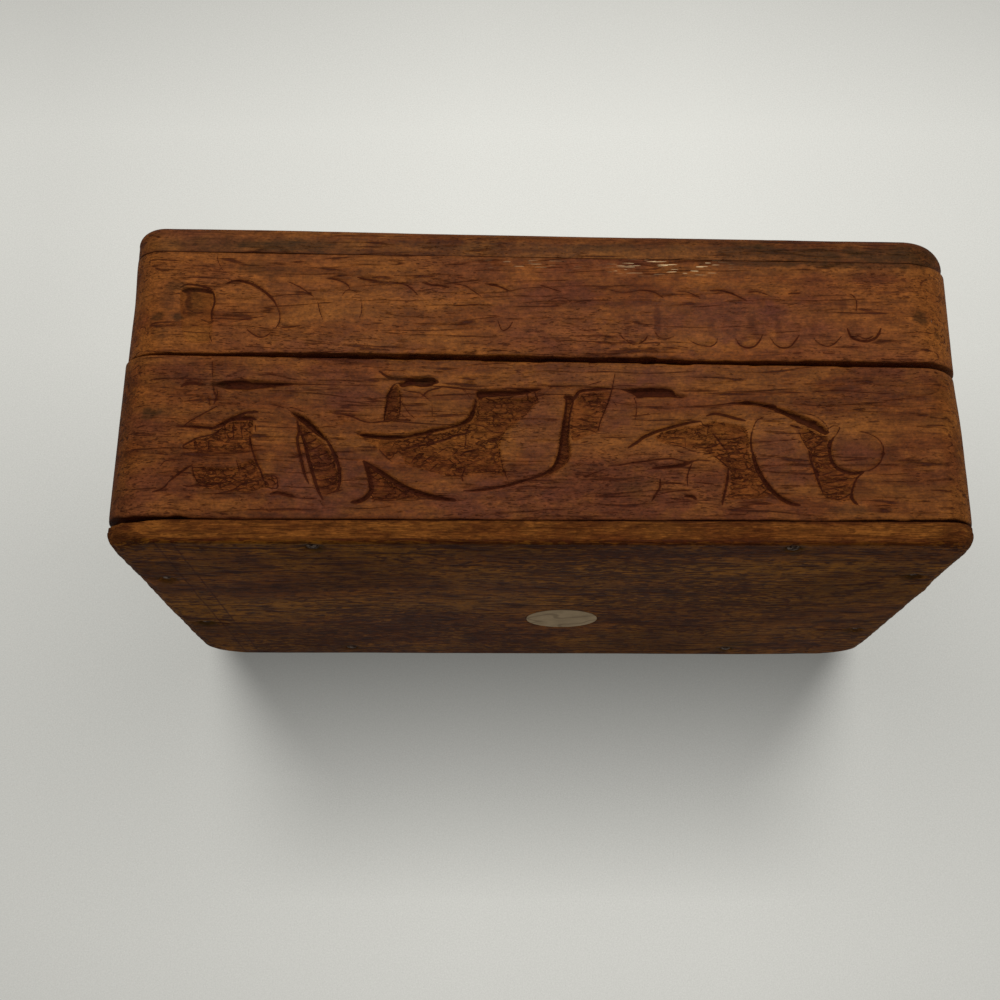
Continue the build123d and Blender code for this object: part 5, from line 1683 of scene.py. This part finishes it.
    def back(self) -> Board:
        """Returns the back board with its stop bevel and the room for the hinges."""
        s = self.sizes
        r = s.back_corner_radius

        def outer(u: np.ndarray, v: np.ndarray) -> np.ndarray:
            """Returns the height of the lid's back."""
            drop = rounding(s.half_length - abs(u), r) + rounding(self.wall - v, self.joint_round)
            for side in (-1, 1):
                drop = drop + dip(u, v, (side * 93.0, self.nail_height), 1.7, 0.25)
            cut = stop_bevel(v + s.rim_gap / 2, u + s.lid_shift)
            return s.half_depth - 0.12 - np.maximum(drop + hand_worn(u - 33, v, 0.7), cut)

        def marks(u: np.ndarray, v: np.ndarray, w: np.ndarray) -> Marks:
            """Returns the grime and painted shade in the lid back's hollows and under the top board, its wear and its
            stains.
            """
            hollow, crest = creases(w, 2, 0.45)
            edge = np.exp(-np.minimum(s.half_length - abs(u), 9) / 4.0) * 0.35
            spots = [Spot(-93, 11, 2.0, 1.8, 0.9), Spot(93, 11, 2.1, 1.6, 0.8)]
            # Painted shade with grime: the hollows and the edge under the top board are darkened.
            return Marks(np.clip(0.6 * hollow + 0.7 * np.exp(-(self.wall - v) / 0.4), 0, 1),
                         np.clip(0.3 * crest + edge, 0, 1), spotted(spots, u, v))

        across = np.unique(np.concatenate([
            round_lines(-s.half_length, s.half_length, COARSE, r, r),
            [side * s.hinge_offset + end * s.hinge_length / 2 - s.lid_shift + nudge for side in (-1, 1)
             for end in (-1, 1) for nudge in (-0.02, 0.02)]]))
        up = np.unique(np.concatenate([np.linspace(0, 0.1, 16), round_lines(0.1, 1, COARSE / self.wall, 0.001, 0.014, 4)]))
        return Board("back_of_lid", "lid_back_board", "lid", "wood", across, up, self.wall_span, outer,
                     level(s.half_depth - s.back_thickness), lambda a, b, c: LID_PLACE(a, c, b), marks)

    def end(self, side: int) -> Board:
        """Returns one end board of the lid: side is -1 on the left and 1 on the right."""
        s = self.sizes
        front, back = -s.half_depth + s.front_thickness, s.half_depth - s.back_thickness

        def outer(u: np.ndarray, v: np.ndarray) -> np.ndarray:
            """Returns the height of the lid's end."""
            drop = rounding(np.minimum(u - front, back - u), self.joint_round) + rounding(v, self.rim_round)
            drop = drop + rounding(self.wall - v, self.joint_round) + hand_worn(u - 60 * side, v + 20)
            return s.half_length - 0.12 - drop

        def marks(u: np.ndarray, v: np.ndarray, w: np.ndarray) -> Marks:
            """Returns the grime and painted shade in the lid end's hollows and along its joints, and its wear."""
            hollow, crest = creases(w, 2, 0.4)
            edge = np.minimum(np.minimum(u - front, back - u), self.wall - v)
            # Painted shade with grime: the hollows and the joints at its edges are darkened.
            return Marks(np.clip(0.6 * hollow + 0.7 * np.exp(-edge / 0.35), 0, 1), 0.3 * crest, np.zeros_like(u))

        return Board(("left" if side < 0 else "right") + "_end_of_lid",
                     "lid_left_end" if side < 0 else "lid_right_end", "lid", "end_wood",
                     round_lines(front, back, COARSE, self.joint_round, self.joint_round, 4),
                     round_lines(0, 1, COARSE / self.wall, 0.03, 0.014, 4), self.wall_span, outer,
                     level(s.half_length - s.end_thickness), lambda a, b, c: LID_PLACE(side * c, a, b), marks)

    def top(self) -> Board:
        """Returns the top board with its worn, rounded edge."""
        s = self.sizes
        outline = RoundedPlan(s.half_length, s.half_depth, s.lid_front_corner_radius - 2.5, self.worn_corner - 0.7,
                              s.back_corner_radius)

        def edge_round(u: np.ndarray) -> np.ndarray:
            """Returns the radius of the worn upper edge, crisper towards the left."""
            return s.top_edge_radius - 1.2 * smoothstep((20 - u) / 110)

        def outer(u: np.ndarray, v: np.ndarray) -> np.ndarray:
            """Returns the height of the top."""
            drop = rounding(outline.from_edge(u, v), edge_round(u))
            ends = 0.6 * smoothstep((u - 91) / 10.5) ** 2 + 0.15 * smoothstep((-u - 91) / 10.5) ** 2
            return s.lid_height - 0.03 - drop - ends - hand_worn(u + 5, v + 9) * 0.8 - carve(TOP_SCRATCHES, u, v).depth

        def marks(u: np.ndarray, v: np.ndarray, w: np.ndarray) -> Marks:
            """Returns the grime and painted shade in the top's hollows, its wear and its stains."""
            relief = w + rounding(outline.from_edge(u, v), edge_round(u))
            hollow, crest = creases(relief, 2, 0.45)
            x, z = self.in_row(u, w)
            front_edge = (v < -s.half_depth + 5.5).astype(float)
            smudge_and_shade = spotted(TOP_EDGE_SPOTS, x, z) * front_edge
            grime = np.clip(0.35 * WAVER(u + 80, v) + 0.1, 0, 1) * 0.6
            edge = np.exp(-np.clip(outline.from_edge(u, v) - 2, 0, None) / 3) * 0.25
            # Painted shade with grime: the hollows are darkened.
            return Marks(0.5 * hollow, np.clip(0.3 * crest + edge * (1 - front_edge), 0, 1),
                         np.clip(smudge_and_shade + grime, 0, 1))

        def strip_marks(u: np.ndarray, v: np.ndarray, w: np.ndarray) -> Marks:
            """Returns the painted shade and grime along the narrow edge's joint with the boards below, its pale wear at
            the front and its stains.
            """
            x, z = self.in_row(u, w)
            # Painted shade with grime: the joint with the boards below is darkened, less so near the middle.
            joint = np.exp(-(w - self.wall) / 0.35) * (1 - 0.8 * np.exp(-(((u - 15) / 30) ** 2)))
            pale = 0.30 * np.exp(-(((x - 8) / 34) ** 2)) * (v < 0)
            return Marks(0.85 * joint, pale, spotted(TOP_EDGE_SPOTS, x, z) * (v < 0))

        def span(u: np.ndarray) -> tuple[np.ndarray, np.ndarray]:
            """Returns the front and back edge of the board."""
            return np.full_like(u, -s.half_depth), np.full_like(u, s.half_depth)

        across = round_lines(-s.half_length, s.half_length, MEDIUM, s.top_edge_radius, s.top_edge_radius, 12)
        share = s.top_edge_radius / s.depth
        deep = round_lines(0, 1, MEDIUM / s.depth, share, share, 12)
        return Board("worn_lid_top", "lid_top_board", "lid", "lid_top_wood", across, deep, span, outer,
                     level(self.wall), LID_PLACE, marks, outline.bend, 8, strip_dents, strip_marks)


TOP_SCRATCHES: list[Stroke] = [
    Cut(((-60, -20), (-42, -12), (-20, -9)), 1.2, 0.18),
    Cut(((-10, 30), (12, 22), (40, 24)), 1.1, 0.15),
    Cut(((50, -35), (62, -22), (70, -4)), 1.2, 0.2),
    Cut(((-80, 30), (-66, 38), (-50, 40)), 1.1, 0.16),
    Cut(((22, -44), (28, -30), (31, -18)), 1.1, 0.14),
    Cut(((-34, 8), (-30, 20), (-22, 31)), 1.1, 0.12),
]


# ------------------------------------------------------------------------- hardware
@dataclass
class BottomNails:
    """The eight hand-made nails of the bottom board, set out by a Geometry Nodes tree."""

    spots: list[Point]
    head_radius: float = 1.5
    crown: float = 0.5
    sink: float = 0.45
    end_sink: float = 1.1
    shank_width: float = 1.5
    shank_length: float = 21.0
    sides: int = 28
    seed: int = 4

    def build(self, material: bpy.types.Material) -> bpy.types.Object:
        """Makes the nails and hangs them on the body.

        Args:
            material: their finish.

        Returns:
            The finished object.
        """
        points = bpy.data.meshes.new("nail_places")
        points.from_pydata([(x * MM, y * MM, (self.end_sink if abs(x) > 80 else self.sink) * MM) for x, y in self.spots],
                           [], [])
        carrier = bpy.data.objects.new("nail_places", points)
        bpy.context.scene.collection.objects.link(carrier)
        modifier = carrier.modifiers.new("nails", "NODES")
        modifier.node_group = self.tree(material)
        sizes = {"Head Radius": self.head_radius * MM, "Crown": self.crown * MM, "Shank Width": self.shank_width * MM,
                 "Shank Length": self.shank_length * MM}
        for item in modifier.node_group.interface.items_tree:
            if item.item_type == "SOCKET" and item.in_out == "INPUT" and item.name in sizes:
                modifier[item.identifier] = sizes[item.name]
        bpy.context.view_layer.update()
        evaluated = carrier.evaluated_get(bpy.context.evaluated_depsgraph_get())
        mesh = bpy.data.meshes.new_from_object(evaluated)
        mesh.name = "bottom_nail_heads"
        carrier.modifiers.remove(modifier)
        bpy.data.objects.remove(carrier)
        return hang("bottom_nail_heads", mesh, "body", "nail_steel", material, ("bottom_nails",))

    def tree(self, material: bpy.types.Material) -> bpy.types.NodeTree:
        """Returns the tree that stands one nail on each point."""
        group = bpy.data.node_groups.new("bottom_nails", "GeometryNodeTree")
        face = group.interface
        face.new_socket("Geometry", in_out="INPUT", socket_type="NodeSocketGeometry")
        for name in ("Head Radius", "Crown", "Shank Width", "Shank Length"):
            face.new_socket(name, in_out="INPUT", socket_type="NodeSocketFloat")
        face.new_socket("Geometry", in_out="OUTPUT", socket_type="NodeSocketGeometry")
        add, link = group.nodes.new, group.links.new
        given, made = add("NodeGroupInput"), add("NodeGroupOutput")
        ball = add("GeometryNodeMeshUVSphere")
        ball.inputs["Segments"].default_value = self.sides
        ball.inputs["Rings"].default_value = 14
        ball.inputs["Radius"].default_value = 1.0
        squash = add("ShaderNodeCombineXYZ")
        link(given.outputs["Head Radius"], squash.inputs["X"])
        link(given.outputs["Head Radius"], squash.inputs["Y"])
        link(given.outputs["Crown"], squash.inputs["Z"])
        head = add("GeometryNodeTransform")
        link(ball.outputs["Mesh"], head.inputs["Geometry"])
        link(squash.outputs[0], head.inputs["Scale"])
        bar = add("GeometryNodeMeshCube")
        width = add("ShaderNodeCombineXYZ")
        link(given.outputs["Shank Width"], width.inputs["X"])
        link(given.outputs["Shank Width"], width.inputs["Y"])
        link(given.outputs["Shank Length"], width.inputs["Z"])
        link(width.outputs[0], bar.inputs["Size"])
        half = add("ShaderNodeMath")
        half.operation = "MULTIPLY"
        half.inputs[1].default_value = 0.5
        link(given.outputs["Shank Length"], half.inputs[0])
        lift = add("ShaderNodeCombineXYZ")
        link(half.outputs[0], lift.inputs["Z"])
        shank = add("GeometryNodeTransform")
        link(bar.outputs["Mesh"], shank.inputs["Geometry"])
        link(lift.outputs[0], shank.inputs["Translation"])
        join = add("GeometryNodeJoinGeometry")
        link(head.outputs[0], join.inputs[0])
        link(shank.outputs[0], join.inputs[0])
        turn = add("FunctionNodeRandomValue")
        turn.data_type = "FLOAT_VECTOR"
        turn.inputs["Min"].default_value = (-0.05, -0.05, 0.0)
        turn.inputs["Max"].default_value = (0.05, 0.05, 3.0)
        turn.inputs["Seed"].default_value = self.seed
        stand = add("GeometryNodeInstanceOnPoints")
        link(given.outputs["Geometry"], stand.inputs["Points"])
        link(join.outputs[0], stand.inputs["Instance"])
        link(turn.outputs[0], stand.inputs["Rotation"])
        real = add("GeometryNodeRealizeInstances")
        link(stand.outputs[0], real.inputs[0])
        coat = add("GeometryNodeSetMaterial")
        coat.inputs["Material"].default_value = material
        link(real.outputs[0], coat.inputs["Geometry"])
        link(coat.outputs[0], made.inputs[0])
        return group


@dataclass
class Hardware:
    """Hinges, screws, set nails and the paper label, which keep their own solids."""

    brass_nodes: tuple[str, ...] = (
        "left_hinge_body_leaf", "left_hinge_lid_leaf", "left_hinge_pin", "right_hinge_body_leaf",
        "right_hinge_lid_leaf", "right_hinge_pin", "body_hinge_screws", "lid_hinge_screws")
    steel_nodes: tuple[str, ...] = ("body_corner_nails", "lid_corner_nails")

    def build(self, brass: bpy.types.Material, steel: bpy.types.Material, paper: bpy.types.Material) -> None:
        """Gives each solid its finish.

        Args:
            brass: the hinges' finish.
            steel: the nails' finish.
            paper: the label's finish.
        """
        for node in self.brass_nodes:
            self.dress(node, brass)
        for node in self.steel_nodes:
            self.dress(node, steel)
        self.dress("paper_label", paper)

    @staticmethod
    def dress(node: str, material: bpy.types.Material) -> None:
        """Puts a material in every slot of a solid."""
        for slot in bpy.data.objects[node].material_slots:
            slot.material = material
        LOG.info("%s: dressed", node)


# -------------------------------------------------------------------- camera, light
@dataclass
class Studio:
    """The table, the lamps and the camera, none of which is part of the box."""

    camera_place: tuple[float, float, float] = (-8.02, -348.75, -88.29)
    camera_turn: tuple[float, float, float] = (108.839, -0.249, 0.156)
    focal_pixels: float = 1326.8
    image_pixels: float = 1000.0
    sensor: float = 36.0
    backdrop: Colour = (0.735, 0.730, 0.680)
    ambient: Colour = (1.0, 1.0, 0.98)
    ambient_strength: float = 0.27
    key_place: tuple[float, float, float] = (60.0, -1400.0, 620.0)
    key_size: float = 700.0
    key_power: float = 13.5
    # Edges and length of the painted shadow on the table, and where the painted dimness round the box starts and how
    # far it reaches.
    shadow_left: float = -101.8
    shadow_right: float = 103.5
    shadow_length: float = 74.0
    halo_start: float = 100.0
    halo_reach: float = 120.0

    def build(self) -> None:
        """Sets up the camera, the light and the table."""
        self.camera()
        self.world()
        self.lamp()
        self.table()
        scene = bpy.context.scene
        scene.view_settings.view_transform = "Standard"
        scene.view_settings.look = "None"

    def camera(self) -> None:
        """Places the camera where the photograph was taken from."""
        data = bpy.data.cameras.new("photograph_camera")
        data.sensor_width = self.sensor
        data.lens = self.focal_pixels / self.image_pixels * self.sensor
        data.clip_start, data.clip_end = 0.01, 20.0
        camera = bpy.data.objects.new("photograph_camera", data)
        camera.location = Vector(self.camera_place) * MM
        camera.rotation_euler = Euler([math.radians(angle) for angle in self.camera_turn], "XYZ")
        bpy.context.scene.collection.objects.link(camera)
        bpy.context.scene.camera = camera

    def world(self) -> None:
        """Lights everything softly and shows a plain pale backdrop."""
        world = bpy.data.worlds.new("studio")
        world.use_nodes = True
        tree = world.node_tree
        seen = tree.nodes["Background"]
        seen.inputs["Color"].default_value = (*self.backdrop, 1)
        lit = tree.nodes.new("ShaderNodeBackground")
        lit.inputs["Color"].default_value = (*self.ambient, 1)
        lit.inputs["Strength"].default_value = self.ambient_strength
        path = tree.nodes.new("ShaderNodeLightPath")
        mix = tree.nodes.new("ShaderNodeMixShader")
        tree.links.new(path.outputs["Is Camera Ray"], mix.inputs[0])
        tree.links.new(lit.outputs[0], mix.inputs[1])
        tree.links.new(seen.outputs[0], mix.inputs[2])
        tree.links.new(mix.outputs[0], tree.nodes["World Output"].inputs["Surface"])
        bpy.context.scene.world = world

    def lamp(self) -> None:
        """Hangs one broad soft lamp in front of the box and above it."""
        data = bpy.data.lights.new("soft_key", "AREA")
        data.shape = "DISK"
        data.size = self.key_size * MM
        data.energy = self.key_power
        data.color = (1.0, 0.985, 0.95)
        lamp = bpy.data.objects.new("soft_key", data)
        lamp.location = Vector(self.key_place) * MM
        aim = Vector((0, 0, 40 * MM)) - lamp.location
        lamp.rotation_euler = aim.to_track_quat("-Z", "Y").to_euler()
        bpy.context.scene.collection.objects.link(lamp)

    def table(self) -> None:
        """Lays the table behind the box and a floor under it, each seen from one side only."""
        half = 900.0
        y = SIZES.half_depth + 0.1
        wall = self.sheet("table_behind", [(-half, y, -half), (half, y, -half), (half, y, half), (-half, y, half)])
        wall.data.materials.append(self.table_shade())
        floor = self.sheet("floor_under", [(-half, -half, -0.1), (half, -half, -0.1), (half, half, -0.1), (-half, half, -0.1)])
        floor.data.materials.append(self.floor_shade())

    @staticmethod
    def sheet(name: str, corners: Sequence[Sequence[float]]) -> bpy.types.Object:
        """Returns one square of stage that neither blocks nor bounces light."""
        mesh = bpy.data.meshes.new(name)
        mesh.from_pydata([tuple(value * MM for value in corner) for corner in corners], [], [(0, 1, 2, 3)])
        piece = bpy.data.objects.new(name, mesh)
        bpy.context.scene.collection.objects.link(piece)
        piece.visible_shadow = piece.visible_diffuse = piece.visible_glossy = False
        return piece

    def table_shade(self) -> bpy.types.Material:
        """Returns the table: the backdrop seen through a painted soft shadow of the box, a painted dimness round its
        foot and a painted falloff of light across the table.
        """
        g = Graph("pale_table")
        split = g.add("ShaderNodeSeparateXYZ")
        g.feed(split.inputs[0], g.millimetres())
        x, z = split.outputs[0], split.outputs[2]
        # Painted shadow of the box: darkest at its foot, fading and widening below it.
        down = g.math("MULTIPLY", z, -1.0)
        fade = g.span(down, 0.0, self.shadow_length, 0.35, 1.0)
        spread = g.span(down, 0.0, 40.0, 12.5, 46.0)
        from_left = g.math("SUBTRACT", x, self.shadow_left)
        from_right = g.math("SUBTRACT", self.shadow_right, x)
        left = g.span(g.math("DIVIDE", from_left, spread), 0.0, 1.0, eased=True)
        right = g.span(g.math("DIVIDE", from_right, spread), 0.0, 1.0, eased=True)
        under = g.math("MULTIPLY", g.math("MULTIPLY", left, right), g.span(down, -30.0, -4.0))
        shadow = g.math("SUBTRACT", 1.0, g.math("MULTIPLY", under, g.math("SUBTRACT", 1.0, fade)))
        shadow = g.math("MULTIPLY", shadow, self.halo(g, x, down))
        # Painted falloff of light: the table is darker low down, high up and away to the sides.
        low = g.span(z, -110.0, 150.0, 0.79, 1.0)
        high = g.span(z, 190.0, 255.0, 1.0, 0.82)
        aside = g.span(g.math("ABSOLUTE", g.math("ADD", x, -20.0)), 40.0, 190.0, 1.03, 0.88)
        tone = g.math("MULTIPLY", g.math("MULTIPLY", low, high), g.math("MULTIPLY", aside, shadow))
        speck = g.noise(g.millimetres(), (2.4, 2.4, 2.4), 4, 0.8)
        tone = g.math("MULTIPLY", tone, g.span(speck, 0.3, 0.7, 0.93, 1.07))
        clear = g.add("ShaderNodeBsdfTransparent")
        shade = g.add("ShaderNodeCombineColor")
        for socket in shade.inputs[:3]:
            g.feed(socket, tone)
        g.feed(clear.inputs[0], shade.outputs[0])
        return self.one_sided(g, clear.outputs[0])

    def halo(self, g: Graph, x: Socket, down: Socket) -> Socket:
        """Returns a painted wide dimness of the table round the foot of the box, standing in for the shade the box
        casts.
        """
        beside = g.math("MAXIMUM", g.math("SUBTRACT", g.math("ABSOLUTE", x), self.halo_start), 0.0)
        below = g.math("MULTIPLY", g.math("MAXIMUM", down, 0.0), 1.35)
        away = g.math("SQRT", g.math("ADD", g.math("MULTIPLY", beside, beside), g.math("MULTIPLY", below, below)))
        near = g.math("POWER", g.span(away, self.halo_reach, 0.0), 1.3)
        return g.math("SUBTRACT", 1.0, g.math("MULTIPLY", near, g.span(down, -105.0, -30.0, 0.0, 0.25)))

    def floor_shade(self) -> bpy.types.Material:
        """Returns the plain pale floor that the upright box stands on."""
        g = Graph("pale_floor")
        speck = g.noise(g.millimetres(), (0.6, 0.6, 0.6), 4, 0.6)
        g.set(Base_Color=g.mix(g.span(speck, 0.3, 0.7, 0.0, 0.06), self.backdrop, (0.6, 0.6, 0.56)), Roughness=0.8)
        return self.one_sided(g, g.shader.outputs[0])

    @staticmethod
    def one_sided(g: Graph, surface: Socket) -> bpy.types.Material:
        """Returns the material with its back made clear."""
        behind = g.add("ShaderNodeBsdfTransparent")
        mix = g.add("ShaderNodeMixShader")
        g.feed(mix.inputs[0], g.add("ShaderNodeNewGeometry").outputs["Backfacing"])
        g.feed(mix.inputs[1], surface)
        g.feed(mix.inputs[2], behind.outputs[0])
        g.feed(g.output.inputs["Surface"], mix.outputs[0])
        return g.material


def main() -> None:
    """Builds the box in order, then the studio."""
    logging.basicConfig(level=logging.INFO, format="%(name)s: %(message)s")
    woods = {
        Finish.CARVED: Wood("carved_wood", hatched=True).make(),
        Finish.LID: Wood("carved_lid_wood", seed=0.4, tone=(1.08, 1.03, 1.05)).make(),
        Finish.BACK: Wood("back_wood", seed=3.0).make(),
        Finish.END: Wood("end_wood", grain=Grain.ALONG_Y, seed=5.0).make(),
        Finish.TOP: Wood("lid_top_wood", seed=7.0, tone=(0.98, 1.04, 1.18)).make(),
        Finish.BOTTOM: Wood("bottom_wood", seed=9.0, tone=(1.30, 1.42, 0.56), rough=0.62,
                            fresh=(0.250, 0.0860, 0.0140), plum=(0.095, 0.0310, 0.0060),
                            stretch=(0.62, 0.30, 1.0), pores=-0.135, inked=1.0, scribes=(-84.3, -88.4)).make(),
    }
    steel = NailSteel("nail_steel").make()
    carcass = Carcass()
    carcass.build(woods)
    Lid().build(woods)
    BottomNails(carcass.nails).build(steel)
    Hardware().build(Brass("hinge_brass").make(), steel, LabelPaper("label_paper").make())
    Studio().build()


if __name__ == "__main__":
    main()
